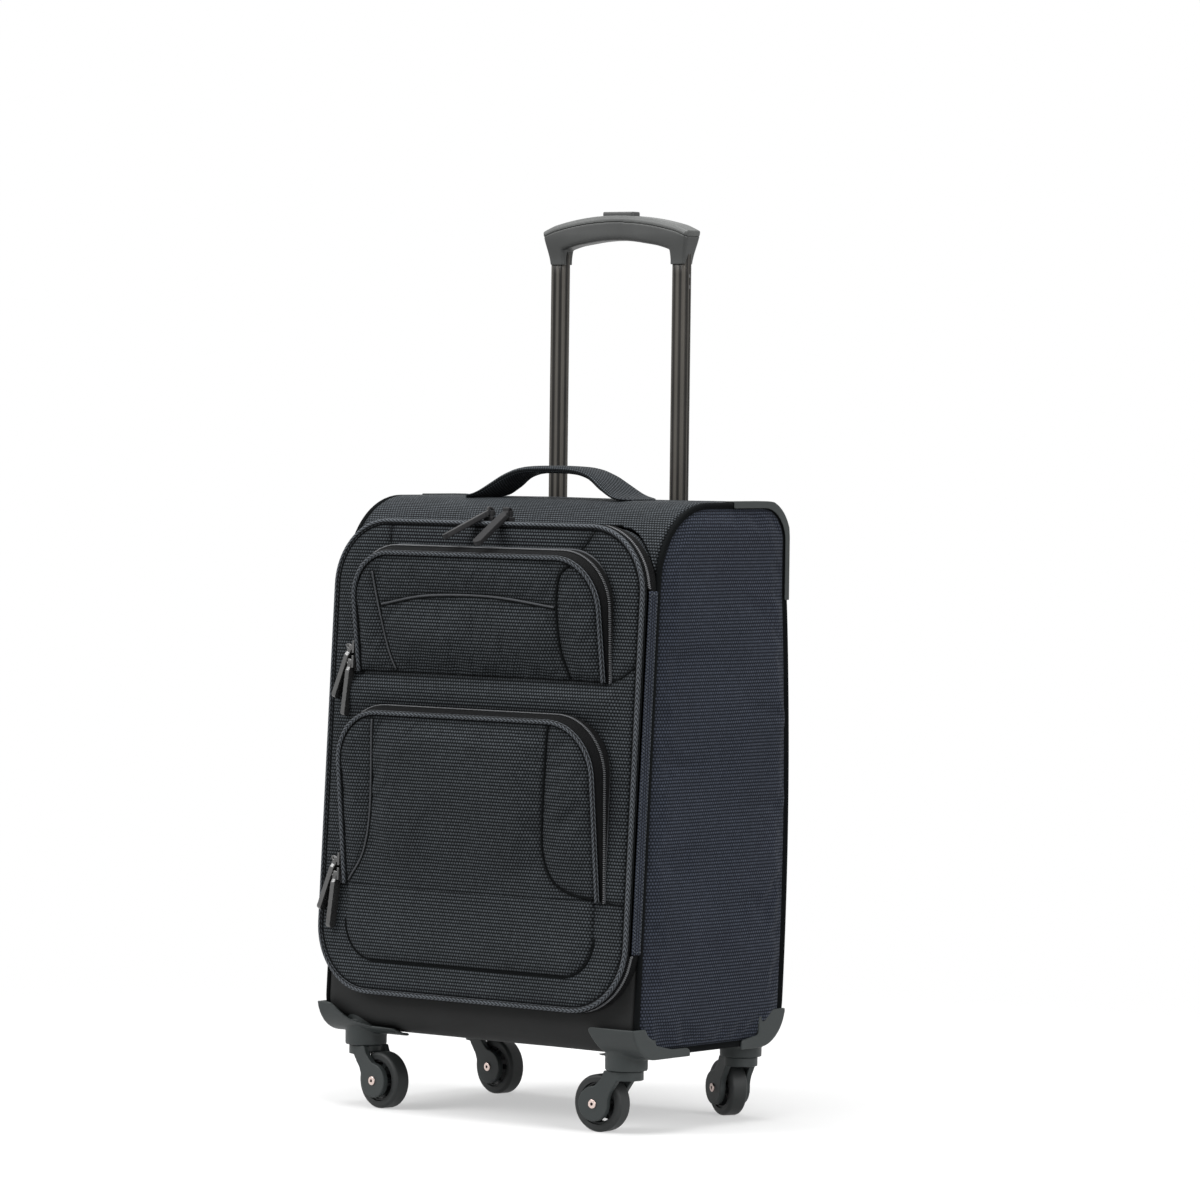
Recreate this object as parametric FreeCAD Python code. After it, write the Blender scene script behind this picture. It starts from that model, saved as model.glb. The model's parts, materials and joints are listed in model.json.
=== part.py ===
"""Softside upright suitcase on four swivel casters.

A board-stiffened fabric case with a book-opening front lid, two wedge-shaped zip
pockets on the lid, a carry handle on top and a two-stage trolley handle at the back.
Millimetres, +Z up, the front faces -Y.  The origin is on the floor, under the middle
of the whole object.
"""
import FreeCAD, Part
import os
from math import cos, degrees, radians, sin, tan

V = FreeCAD.Vector
X_AXIS, Y_AXIS, Z_AXIS = V(1, 0, 0), V(0, 1, 0), V(0, 0, 1)
FAR = 1000.0                       # longer than any piece: reach of the cutting blocks

# ---- wheels, that the case stands on -------------------------------------------------
wheel_radius = 25.0
tyre_inner = 18.5
tyre_width = 16.0
tyre_fillet = 3.0
hub_width = 13.0
hub_rim = 2.0
hub_boss = 6.5
hub_spokes = 5
spoke_width = 4.5
axle_radius = 2.5
axle_head_radius = 4.0
axle_head = 1.2
axle_head_fillet = 0.7
axle_bore = 1.4

# ---- case ----------------------------------------------------------------------------
case_width = 356.0
case_clearance = 18.0              # case above the top of the wheels
case_top = 543.0
depth_at_bottom = 212.0            # rear seam to front seam, at the bottom
front_tilt = 3.3                   # the front leans back by this many degrees
rear_top_radius = 35.0
rear_bottom_radius = 35.0
front_top_radius = 72.0
front_bottom_radius = 30.0
board = 3.0                        # board and fabric together
piping_radius = 2.3
seam_gap = 0.2                     # between pieces that are sewn together
guard_thickness = 2.4
guard_lap = 8.0                    # guard over the side panel's edge
guard_flange = 12.0                # guard over the top and back
guard_forward = 79.0
guard_down = 86.0
liner_thickness = 2.0

# ---- lid -----------------------------------------------------------------------------
lid_inset = 2.0                    # lid edge to case side
lid_below = 36.0                   # lid edge to case bottom
lid_above = 19.0                   # lid edge to case top
lid_corner = 60.0
frame_depth = 22.0                 # how far the fabric edge runs back into the case
frame_gap = 0.6                    # fabric edge to side piping
zip_half = 2.2                     # width of each half of the main zip
zip_thickness = 2.0
zip_gap = 0.3
zip_inset = 0.5                    # zip and rim behind the lid's edge
rim_depth = 2.2
rim_to_panel = 1.2
lid_panel_thickness = 3.0
hinge_from_bottom = 52.0           # the zip stops this far from the lid's edges,
hinge_from_top = 54.0              # and the fabric hinge takes over
hinge_strip_thickness = 1.2
hinge_strip_width = 4.8
hinge_strip_end = 2.0
hinge_clearance = 1.5              # hinge line to lid edge, seen from the front

# ---- pockets on the lid --------------------------------------------------------------
gusset = 1.6
flap_thickness = 2.5
flap_gap = 0.3
foot_depth = 1.0                   # depth of a pocket at its hinge
pocket_piping = 2.0
pocket_inset = (35.0, 30.0)        # pocket to the lid's side edge, upper and lower
pocket_height = (109.0, 156.0)
pocket_corner = (46.0, 48.0)
pocket_depth = (21.0, 24.0)        # at the top edge
upper_pocket_drop = 27.0           # below the lid's top edge
pocket_spacing = 32.0              # lower pocket below the upper one
pocket_foot_inset = 4.5            # narrower than the lower pocket, each side
pocket_foot_rise = 30.0            # above the lid's bottom edge
pocket_foot_corner = 35.0
pocket_foot_depth = 3.3

# ---- zip sliders and pulls -----------------------------------------------------------
slider_length = 11.0
slider_width = 8.4
slider_base = 2.2
main_slider_base = 3.5
main_slider_width = 7.2
post_thickness = 1.2
post_half_length = 1.6
post_root = 0.5                    # bracket sunk into the slider's base
bar_radius = 0.9
bar_lift = 3.4                     # bar above the slider's base
main_bar_lift = 5.0
pin_clearance = 0.1
eye_radius = 2.0
eye_half_width = 2.5
pull_length = 38.0
pull_half_width = 3.2
pull_neck = 2.2
pull_shoulder = 4.0
pull_thickness = 2.0
slider_seat = 0.3                  # slider above the zip
main_slider_x = (-5.6, 13.7)
main_pull_yaw = (35.0, 4.0)        # each pull has slid round its bar by this much
main_pull_drop = (31.0, 38.0)      # degrees below level
side_slider_pitch = 13.0
side_slider_lift = 8.0             # lower slider above the end of the zip
side_pull_out = (20.0, 5.0)        # degrees out from the wall, upper and lower slider

# ---- carry handle --------------------------------------------------------------------
handle_y = -100.0                  # from the rear seam
handle_foot_inner = 66.0
handle_foot_outer = 104.0
handle_foot_width = 56.0
handle_foot_thickness = 3.0
handle_width = 36.0
handle_thickness = 5.0
handle_rise = 28.0
handle_flat_half = 36.0
handle_bend = 24.0
handle_slant = 12.0                # overlap of the strap's sloping ends with its feet

# ---- trolley -------------------------------------------------------------------------
trolley_y = -18.6                  # from the rear seam
tube_spacing = 138.8
inner_tube = (18.0, 11.0)          # outside, across and along the case
tube_wall = 1.1
tube_clearance = 0.1
tube_foot = 18.0                   # outer tubes above the case's bottom
tube_seat_depth = 12.0
trolley_base_half_depth = 11.0
trolley_base_reach = 20.0          # beyond the middle of each tube
trolley_base_web = 4.0
middle_tube_length = 311.0
inner_tube_below = 46.0            # inner tubes below the cup's floor, pulled out
grip_rise = 208.2                  # grip above the case, pulled out
grip_beyond_tube = 18.6
grip_thickness = 22.0
grip_crown_rise = 43.8             # these four are above the grip's lower ends
grip_shoulder_rise = 29.8
grip_under_crown_rise = 21.3
grip_under_shoulder_rise = 12.8
leg_inside = 14.4                  # leg to the middle of the tube, inside and outside
leg_outside = 12.6
leg_root_inside = 11.4
grip_fillet = 4.0
cover_thickness = 6.0
socket_depth = 20.0
cup_side_gap = 6.5
cup_front_gap = 1.9
cup_rear_gap = 1.1
cup_wall = 2.5
cup_floor = 3.0
cup_depth = 42.0
rivet_radius = 1.6
rivet_length = 1.8
rivet_clearance = 0.05
rivet_drops = (20.0, 10.3)         # below the grip
button_half = (20.5, 6.0)
button_proud = 3.2
button_corner = 3.0
button_edge = 1.0
button_travel = 2.5
button_flange = (22.0, 8.0, 2.2)
button_stop = 1.2                  # flange below the cover
button_foot_half = 6.0
button_gap = 0.3
yoke_half_width = 3.0
yoke_beyond_tube = 2.6
yoke_thickness = 2.0
yoke_floor_gap = 2.8               # room for the yoke to travel
rod_radius = 2.0
rod_clearance = 0.4
rod_above_tube_end = 5.0
cavity_half = (24.0, 8.2)
cavity_floor_rise = 23.6           # above the grip's lower ends
channel_depth = 5.4
spring_radius = 2.2
spring_wire = 0.7
spring_y = 5.6

# ---- casters -------------------------------------------------------------------------
running_gap = 0.1
fit_gap = 0.02
trail = 25.0
wheel_relief = 1.2                 # fork above the tread
arm_inner, arm_outer = 9.3, 14.8
arm_disc = 15.2
arm_bend = 8.0
hub_side_gap = 0.5
neck_radius = 15.0
neck_height = 8.2
swivel_gap = 0.3
boss_radius = 18.5
boss_below = 13.0                  # boss under the case's bottom, and inside it
boss_above = 18.0
boss_margin = 6.0                  # casting's floor round the boss
kingpin_radius = 4.0
kingpin_head_radius = 6.0
kingpin_head = 2.0
kingpin_recess = 0.8
kingpin_head_gap = 0.4
caster_side_inset = 29.2
caster_front_inset = 30.6
caster_rear_inset = 21.0
wing_rise = 25.0                   # front castings above the case's bottom
wing_tail_rise = 6.0
rear_wing_rise = 30.0
wing_reach = 36.0                  # castings round the corner of the case
rear_wing_reach = 60.0

# ---- sizes that follow ---------------------------------------------------------------
half_width = case_width / 2
case_bottom = 2 * wheel_radius + case_clearance
slope = tan(radians(front_tilt))
lid_half_width = half_width - lid_inset
lid_bottom = case_bottom + lid_below
lid_top = case_top - lid_above
hinge_zip_bottom = lid_bottom + hinge_from_bottom
hinge_zip_top = lid_top - hinge_from_top
lid_back = zip_half + zip_gap + zip_half          # local depths, all in front of the seam plane
rim_front = lid_back + seam_gap + rim_depth
piping_depth = rim_front + seam_gap + piping_radius
lid_face = rim_front + rim_to_panel + lid_panel_thickness
flap_hinge_depth = lid_face + foot_depth + flap_thickness
hinge_x = lid_half_width + hinge_clearance
hinge_depth = zip_half + zip_gap / 2


def pocket_sizes(index, top):
    """Outline and depth of one pocket, by its place in the pairs of values."""
    return dict(half_width=lid_half_width - pocket_inset[index], base=top - pocket_height[index], top=top,
                corner=pocket_corner[index], depth=pocket_depth[index])


upper_pocket = pocket_sizes(0, lid_top - upper_pocket_drop)
lower_pocket = pocket_sizes(1, upper_pocket["base"] - pocket_spacing)
pocket_foot_half_width = lower_pocket["half_width"] - pocket_foot_inset
pocket_foot_bottom = lid_bottom + pocket_foot_rise

tube_x = tube_spacing / 2
middle_tube = tuple(size + 2 * (tube_wall + tube_clearance) for size in inner_tube)
outer_tube = tuple(size + 2 * (tube_wall + tube_clearance) for size in middle_tube)
cup_floor_top = case_top - cup_depth
tube_bottom = case_bottom + tube_foot
middle_tube_bottom = cup_floor_top - middle_tube_length
inner_tube_bottom = cup_floor_top - inner_tube_below
grip_bottom = case_top + grip_rise
grip_half_width = tube_x + grip_beyond_tube
grip_crown = grip_bottom + grip_crown_rise
grip_shoulder = grip_bottom + grip_shoulder_rise
grip_under_crown = grip_bottom + grip_under_crown_rise
grip_under_shoulder = grip_bottom + grip_under_shoulder_rise
cavity_floor = grip_bottom + cavity_floor_rise
channel_top = cavity_floor + channel_depth
yoke_bottom = cavity_floor + yoke_floor_gap
yoke_half_length = tube_x + yoke_beyond_tube
rod_bottom = inner_tube_bottom + rod_above_tube_end
cup_half_width = grip_half_width + cup_side_gap + cup_wall
cup_front = trolley_y - grip_thickness / 2 - cup_front_gap - cup_wall
cup_rear = trolley_y + grip_thickness / 2 + cup_rear_gap + cup_wall

boss_bottom = case_bottom - boss_below
boss_top = case_bottom + boss_above
caster_x = half_width - caster_side_inset
caster_front_y = caster_front_inset - depth_at_bottom
caster_rear_y = -caster_rear_inset
# name, side, y of the swivel from the rear seam, heading of the wheel in degrees from +X
casters = (("front_left", -1, caster_front_y, -7.0), ("front_right", 1, caster_front_y, 183.0),
           ("rear_left", -1, caster_rear_y, -9.0), ("rear_right", 1, caster_rear_y, 154.0))

pocket_reach = lid_face + lower_pocket["depth"] + 2 * pocket_piping
deepest = depth_at_bottom - (lower_pocket["top"] - case_bottom) * slope
deepest = deepest + pocket_reach / cos(radians(front_tilt))


def rear_reach(y, heading):
    """How far behind the rear seam a caster's fork stands."""
    turn = radians(heading)
    return y + max(0, (trail + arm_disc) * sin(turn)) + (arm_outer + axle_head) * abs(cos(turn))


rear_y = (deepest - max(rear_reach(y, heading) for _name, _side, y, heading in casters)) / 2


def front_y(z):
    """Y of the front seam plane at height z."""
    return rear_y - depth_at_bottom + (z - case_bottom) * slope


# ---- helpers -------------------------------------------------------------------------
def rounded_edges(points, radii, closed=True):
    """Lines joined by tangent arcs through 3-D points; a zero radius keeps the corner."""
    count = len(points)
    starts, ends, arcs = [], [], []
    for index, (corner, radius) in enumerate(zip(points, radii)):
        is_end = not closed and index in (0, count - 1)
        if radius <= 0 or is_end:
            starts.append(corner)
            ends.append(corner)
            arcs.append(None)
            continue
        before = (points[index - 1] - corner).normalize()
        after = (points[(index + 1) % count] - corner).normalize()
        half = before.getAngle(after) / 2
        middle = (before + after).normalize()
        starts.append(corner + before * (radius / tan(half)))
        ends.append(corner + after * (radius / tan(half)))
        arcs.append(corner + middle * (radius / sin(half) - radius))
    edges = []
    for index in range(count):
        if arcs[index] is not None:
            edges.append(Part.Arc(starts[index], arcs[index], ends[index]).toShape())
        if index + 1 < count or closed:
            following = starts[(index + 1) % count]
            if (following - ends[index]).Length > 1e-6:
                edges.append(Part.LineSegment(ends[index], following).toShape())
    return edges


def prism(outline, radii, axis, start, end):
    """Rounded outline in the plane across the axis, extruded from start to end along it."""
    places = {"x": lambda a, b: V(start, a, b),
              "y": lambda a, b: V(a, start, b),
              "z": lambda a, b: V(a, b, start)}
    directions = {"x": X_AXIS, "y": Y_AXIS, "z": Z_AXIS}
    points = [places[axis](a, b) for a, b in outline]
    face = Part.Face(Part.Wire(rounded_edges(points, radii)))
    return face.extrude(directions[axis] * (end - start))


def box(x_range, y_range, z_range):
    """Block between two limits on each axis."""
    low = V(x_range[0], y_range[0], z_range[0])
    return Part.makeBox(x_range[1] - x_range[0], y_range[1] - y_range[0], z_range[1] - z_range[0], low)


def tube_along(points, radii, radius, closed=False):
    """Round cord along straight runs joined by tangent arcs."""
    path = Part.Wire(rounded_edges(points, radii, closed))
    first = path.Edges[0]
    start = first.valueAt(first.FirstParameter)
    heading = first.tangentAt(first.FirstParameter)
    section = Part.Wire(Part.makeCircle(radius, start, heading))
    return path.makePipeShell([section], True, False)


def stadium(size, x, y, z_range):
    """Flat-sided round-ended bar standing at x, y."""
    width, depth = size
    corners = [(x - width / 2, y - depth / 2), (x + width / 2, y - depth / 2),
               (x + width / 2, y + depth / 2), (x - width / 2, y + depth / 2)]
    return prism(corners, [depth / 2 - 0.01] * 4, "z", z_range[0], z_range[1])


def mirrored(shape):
    """Copy of a piece on the other side of the case."""
    return shape.mirror(V(0, 0, 0), X_AXIS)


def side_outline(inset):
    """Outline of the case from the side, moved inwards by inset."""
    lean = inset / cos(radians(front_tilt))
    corners = [(rear_y - inset, case_bottom + inset), (rear_y - inset, case_top - inset),
               (front_y(case_top - inset) + lean, case_top - inset),
               (front_y(case_bottom + inset) + lean, case_bottom + inset)]
    radii = [rear_bottom_radius, rear_top_radius, front_top_radius, front_bottom_radius]
    return corners, [radius - inset for radius in radii]


def case_block(inset, half):
    """Solid block with the outline of the case."""
    corners, radii = side_outline(inset)
    return prism(corners, radii, "x", -half, half)


def lid_outline(inset):
    """Rounded rectangle of the lid's edge, moved inwards by inset."""
    half = lid_half_width - inset
    low, high = lid_bottom + inset, lid_top - inset
    corners = [(-half, low), (half, low), (half, high), (-half, high)]
    return corners, [lid_corner - inset] * 4


def lid_block(inset, depth_from, depth_to):
    """Block with the lid's outline between two depths in front of the seam plane."""
    corners, radii = lid_outline(inset)
    return prism(corners, radii, "y", -depth_from, -depth_to)


def on_lid(shape):
    """Move a piece from the lid's upright local frame to its tilted place."""
    placed = shape.copy()
    placed.rotate(V(0, 0, case_bottom), X_AXIS, -front_tilt)
    placed.translate(V(0, front_y(case_bottom), 0))
    return placed


def lid_point(x, depth, z):
    """Point given by its depth in front of the seam plane."""
    lean, height = radians(front_tilt), z - case_bottom
    y = front_y(case_bottom) - depth * cos(lean) + height * sin(lean)
    return V(x, y, case_bottom + depth * sin(lean) + height * cos(lean))


# ---- case pieces ---------------------------------------------------------------------
def shell_parts():
    """Back, top and bottom boards cut from one wrap between the side panels."""
    wrap = case_block(0, half_width - 2 * piping_radius - 2 * seam_gap)
    wrap = wrap.cut(case_block(board, FAR))
    window = on_lid(lid_block(-seam_gap, -FAR, FAR).common(box((-FAR, FAR), (-FAR, FAR), (0, case_top))))
    middle_y = front_y(case_top) + depth_at_bottom / 2
    split_low = case_bottom + rear_bottom_radius
    split_high = case_top - rear_top_radius
    behind, ahead = (middle_y, FAR), (-FAR, middle_y)
    everywhere = (-FAR, FAR)
    back = wrap.common(box(everywhere, behind, (split_low, split_high)))
    front = wrap.cut(window)
    top = wrap.common(box(everywhere, behind, (split_high, FAR)))
    top = top.fuse(front.common(box(everywhere, ahead, (hinge_zip_top - lid_inset, FAR)))).removeSplitter()
    low = wrap.common(box(everywhere, behind, (0, split_low)))
    low = low.fuse(front.common(box(everywhere, ahead, (0, lid_bottom + lid_corner + 2)))).removeSplitter()
    return back, top, low


def side_panel():
    """Right side panel, inside its piping."""
    corners, radii = side_outline(2 * piping_radius + seam_gap)
    return prism(corners, radii, "x", half_width - board, half_width)


def side_piping():
    """Right-hand cord round the side panel."""
    corners, radii = side_outline(piping_radius)
    x = half_width - piping_radius
    return tube_along([V(x, y, z) for y, z in corners], radii, piping_radius, closed=True)


def corner_guard():
    """Right-hand moulded channel over the piping of the upper rear corner."""
    outer = case_block(-guard_thickness, half_width + guard_thickness)
    guard = outer.cut(case_block(0, half_width)).cut(case_block(guard_lap, FAR))
    corner = box((half_width - guard_flange, FAR), (rear_y - guard_forward, FAR), (case_top - guard_down, FAR))
    return guard.common(corner)


def front_frame():
    """Stiff fabric edge round the opening of the case."""
    inset = 2 * piping_radius - lid_inset + frame_gap
    ring = lid_block(inset, 0, -frame_depth).cut(lid_block(inset + board, 1, -frame_depth - 1))
    return on_lid(ring)


def zip_ring(depth_from, depth_to):
    """Half of the main zip: a ring that stops where the fabric hinge begins."""
    ring = lid_block(zip_inset, depth_from, depth_to)
    ring = ring.cut(lid_block(zip_inset + zip_thickness, depth_from - 1, depth_to + 1))
    return on_lid(ring.cut(box((0, FAR), (-FAR, FAR), (hinge_zip_bottom, hinge_zip_top))))


def hinge_strip():
    """Strip of fabric that the lid turns on."""
    right = hinge_x - running_gap
    middle = hinge_depth
    strip = box((right - hinge_strip_thickness, right),
                (-middle - hinge_strip_width / 2, -middle + hinge_strip_width / 2),
                (hinge_zip_bottom + hinge_strip_end, hinge_zip_top - hinge_strip_end))
    return on_lid(strip)


def carry_handle():
    """Padded strap: an arch with a wide flat foot at each end."""
    low, high = case_top + seam_gap, case_top + handle_rise
    under, bend = high - handle_thickness, handle_bend
    end = handle_foot_inner + handle_slant
    arch = [(-end, low), (-handle_flat_half, under), (handle_flat_half, under), (end, low),
            (end + handle_slant, low), (handle_flat_half + handle_slant / 2, high),
            (-handle_flat_half - handle_slant / 2, high), (-end - handle_slant, low)]
    y = rear_y + handle_y
    outer_bend = bend + 2
    strap = prism(arch, [0, bend, bend, 0, 0, outer_bend, outer_bend, 0], "y",
                  y - handle_width / 2, y + handle_width / 2)
    foot_corners = [(handle_foot_inner, y - handle_width / 2), (handle_foot_outer, y - handle_foot_width / 2),
                    (handle_foot_outer, y + handle_foot_width / 2), (handle_foot_inner, y + handle_width / 2)]
    foot = prism(foot_corners, [4, 8, 8, 4], "z", low, low + handle_foot_thickness)
    return strap.fuse([foot, mirrored(foot)]).removeSplitter()


def at_tubes(build):
    """Right and left copies of a piece built at tube_x."""
    right = build()
    return Part.makeCompound([right, mirrored(right)])


def hollow_tube(size, bottom, top):
    """Stadium tube of the trolley."""
    y = rear_y + trolley_y
    bore = tuple(side - 2 * tube_wall for side in size)
    return stadium(size, tube_x, y, (bottom, top)).cut(stadium(bore, tube_x, y, (bottom - 1, top + 1)))


def handle_cup():
    """Recess that the grip drops into, let into the top rear bend."""
    y_range = (rear_y + cup_front, rear_y + cup_rear)
    outer = box((-cup_half_width, cup_half_width), y_range, (cup_floor_top - cup_floor, FAR))
    hollow = box((-cup_half_width + cup_wall, cup_half_width - cup_wall),
                 (y_range[0] + cup_wall, y_range[1] - cup_wall), (cup_floor_top, FAR))
    cup = outer.common(case_block(0, half_width)).cut(hollow)
    bore = tuple(side + 2 * tube_clearance for side in middle_tube)
    for x in (-tube_x, tube_x):
        cup = cup.cut(stadium(bore, x, rear_y + trolley_y, (0, FAR)))
    return cup, outer


def trolley_base():
    """Block on the bottom board that holds the feet of the outer tubes."""
    y = rear_y + trolley_y
    low = case_bottom + board + seam_gap
    half_depth = trolley_base_half_depth
    half = tube_x + trolley_base_reach
    block = box((-half, half), (y - half_depth, y + half_depth), (low, tube_bottom + tube_seat_depth))
    for x in (-tube_x, tube_x):
        seat = tuple(side + 2 * tube_clearance for side in outer_tube)
        block = block.cut(stadium(seat, x, y, (tube_bottom, FAR)))
    slot_half = tube_x - trolley_base_reach - 2
    slot = box((-slot_half, slot_half), (y - half_depth - 1, y + half_depth + 1), (low + trolley_base_web, FAR))
    return block.cut(slot).cut(case_block_outside())


def case_block_outside():
    """Everything outside the inner face of the wrap."""
    return box((-FAR, FAR), (-FAR, FAR), (0, FAR)).cut(case_block(board + seam_gap, FAR))


def back_liner():
    """Lining board in front of the trolley tubes."""
    y = rear_y + cup_front - seam_gap
    half = half_width - 2 * piping_radius - 2 * seam_gap
    liner = box((-half, half), (y - liner_thickness, y), (case_bottom, case_top))
    liner = liner.common(case_block(board + seam_gap, FAR))
    for hole in boss_holes(seam_gap):
        liner = liner.cut(hole)
    return liner


# ---- lid pieces ----------------------------------------------------------------------
def lid_rim():
    """Edge wall of the lid, cut back where the fabric hinge wraps it."""
    back, front = lid_back + seam_gap, rim_front
    inner = 2 * piping_radius + seam_gap
    ring = lid_block(zip_inset, back, front).cut(lid_block(inner + board, back - 1, front + 1))
    lining = lid_block(inner, front, lid_face - lid_panel_thickness)
    lining = lining.cut(lid_block(inner + board, front - 1, FAR))
    return on_lid(ring.fuse(lining).removeSplitter())


def lid_panel():
    """Padded front of the lid."""
    return on_lid(lid_block(2 * piping_radius + seam_gap, lid_face - lid_panel_thickness, lid_face))


def lid_piping():
    """Cord round the front edge of the lid."""
    corners, radii = lid_outline(piping_radius)
    return on_lid(tube_along([V(x, -piping_depth, z) for x, z in corners], radii, piping_radius, closed=True))


def arch_block(pocket, inset, y_range, bottom_extra=0.0):
    """Block with the arched outline of a pocket."""
    half = pocket["half_width"] - inset
    base, top = pocket["base"] - bottom_extra, pocket["top"] - inset
    radius = pocket["corner"] - inset
    corners = [(-half, base), (half, base), (half, top), (-half, top)]
    return prism(corners, [0, 0, radius, radius], "y", y_range[0], y_range[1])


def flap_angle(pocket):
    """How far a closed flap leans out from the lid, in degrees."""
    run, rise = pocket["depth"] - foot_depth, pocket["top"] - pocket["base"]
    return degrees(run / rise)


def pocket_gusset(pocket):
    """Wedge-shaped wall under the flap, open at the bottom."""
    base, top = pocket["base"], pocket["top"]
    wall = arch_block(pocket, 0, (-FAR, -lid_face - seam_gap))
    wall = wall.cut(arch_block(pocket, gusset, (-FAR - 1, 0), bottom_extra=1))
    lean = tan(radians(flap_angle(pocket)))
    foot = lid_face + foot_depth - flap_gap
    reach = foot + (top - base + 5) * lean
    wedge = [(-lid_face, base), (-foot, base), (-reach, top + 5), (-lid_face, top + 5)]
    return on_lid(wall.common(prism(wedge, [0] * 4, "x", -FAR, FAR)))


def tilt_flap(shape, pocket):
    """Lean a flap that was built flat out from its hinge, then set it on the lid."""
    leaned = shape.copy()
    leaned.rotate(V(0, -flap_hinge_depth, pocket["base"]), X_AXIS, flap_angle(pocket))
    return on_lid(leaned)


def pocket_flap(pocket):
    """Fabric front of a pocket, inside its piping."""
    face = -lid_face - foot_depth
    flat = arch_block(pocket, 2 * pocket_piping + seam_gap, (face - flap_thickness, face))
    flat = flat.cut(box((-FAR, FAR), (-FAR, FAR), (0, pocket["base"] + 1)))
    return tilt_flap(flat, pocket)


def flap_piping(pocket):
    """Corded front edge of a flap, with the outer half of its zip."""
    half, base, top = pocket["half_width"] - pocket_piping, pocket["base"] + 2, pocket["top"] - pocket_piping
    radius = pocket["corner"] - pocket_piping
    y = -lid_face - foot_depth - pocket_piping
    path = [V(-half, y, base), V(-half, y, top), V(half, y, top), V(half, y, base)]
    return tilt_flap(tube_along(path, [0, radius, radius, 0], pocket_piping), pocket)


def pocket_foot():
    """Padded panel below the flap of the lower pocket."""
    half, top = pocket_foot_half_width, lower_pocket["base"] - 1
    corners = [(-half, pocket_foot_bottom), (half, pocket_foot_bottom), (half, top), (-half, top)]
    back = -lid_face - seam_gap
    radii = [pocket_foot_corner, pocket_foot_corner, 2, 2]
    return on_lid(prism(corners, radii, "y", back - pocket_foot_depth, back))


# ---- sliders and pulls ---------------------------------------------------------------
def slider_block(base_height, width, lift, turn=0.0):
    """Zip slider: zip along X, bar for the pull along Y before its turn about +Z."""
    half = slider_width / 2
    body = box((-slider_length / 2, slider_length / 2), (-width / 2, width / 2), (0, base_height))
    bar_height = base_height + lift
    bracket = [Part.makeCylinder(bar_radius, slider_width, V(0, -half, bar_height), Y_AXIS)]
    root = base_height - post_root
    bracket.append(box((-post_half_length, post_half_length), (-half, half), (root, base_height + post_root)))
    for side in (-1, 1):
        outside = side * half
        inside = side * (half - post_thickness)
        bracket.append(box((-post_half_length, post_half_length), sorted((inside, outside)),
                           (root, bar_height + bar_radius)))
    turned = bracket[0].fuse(bracket[1:])
    turned.rotate(V(0, 0, 0), Z_AXIS, turn)
    return body.fuse(turned).removeSplitter()


def pull_tab():
    """Flat pull: its eye turns on a bar along Y, and it lies along +X."""
    eye = Part.makeCylinder(eye_radius, 2 * eye_half_width, V(0, -eye_half_width, 0), Y_AXIS)
    half, neck = pull_half_width, pull_neck
    outline = [(0, -neck), (pull_shoulder, -neck), (pull_shoulder + 2, -half), (pull_length, -half),
               (pull_length, half), (pull_shoulder + 2, half), (pull_shoulder, neck), (0, neck)]
    end = half - 0.2
    plate = prism(outline, [0, 0, 0, end, end, 0, 0, 0], "z", -pull_thickness / 2, pull_thickness / 2)
    bore_start = V(0, -2 * eye_half_width, 0)
    bore = Part.makeCylinder(bar_radius + pin_clearance, 4 * eye_half_width, bore_start, Y_AXIS)
    return eye.fuse(plate).removeSplitter().cut(bore)


def main_slider_place(index):
    """Slider and pull on the top run of the main zip, in the lid's local frame."""
    x, yaw = main_slider_x[index], main_pull_yaw[index]
    seat = V(x, -hinge_depth, lid_top + slider_seat)
    turn = -90 - yaw
    slider = slider_block(main_slider_base, main_slider_width, main_bar_lift, turn)
    slider.translate(seat)
    pull = pull_tab()
    pull.rotate(V(0, 0, 0), Y_AXIS, main_pull_drop[index])
    pull.rotate(V(0, 0, 0), Z_AXIS, turn)
    bar = seat + V(0, 0, main_slider_base + main_bar_lift)
    pull.translate(bar)
    return slider, pull, bar


def side_slider_place(pocket, index):
    """Slider and pull near the left end of a pocket's zip; index 0 is the upper one."""
    lift = side_slider_lift + (side_slider_pitch if index == 0 else 0)
    x = -pocket["half_width"] - slider_seat
    seat = V(x, -lid_face - slider_width / 2 - 0.5, pocket["base"] + lift)
    to_wall = FreeCAD.Placement(seat, FreeCAD.Rotation(-Z_AXIS, -Y_AXIS, -X_AXIS, "XYZ"))
    slider = slider_block(slider_base, slider_width, bar_lift)
    slider.Placement = to_wall
    pull = pull_tab()
    pull.rotate(V(0, 0, 0), Y_AXIS, -side_pull_out[index])
    pull.translate(V(0, 0, slider_base + bar_lift))
    pull.Placement = to_wall.multiply(pull.Placement)
    bar = seat + V(-slider_base - bar_lift, 0, 0)
    return slider, pull, bar


# ---- trolley grip --------------------------------------------------------------------
def grip_arc(shoulder, crown, half):
    """Arc from left to right over the middle of the grip."""
    y = rear_y + trolley_y - grip_thickness / 2
    return Part.Arc(V(-half, y, shoulder), V(0, y, crown), V(half, y, shoulder)).toShape()


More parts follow.
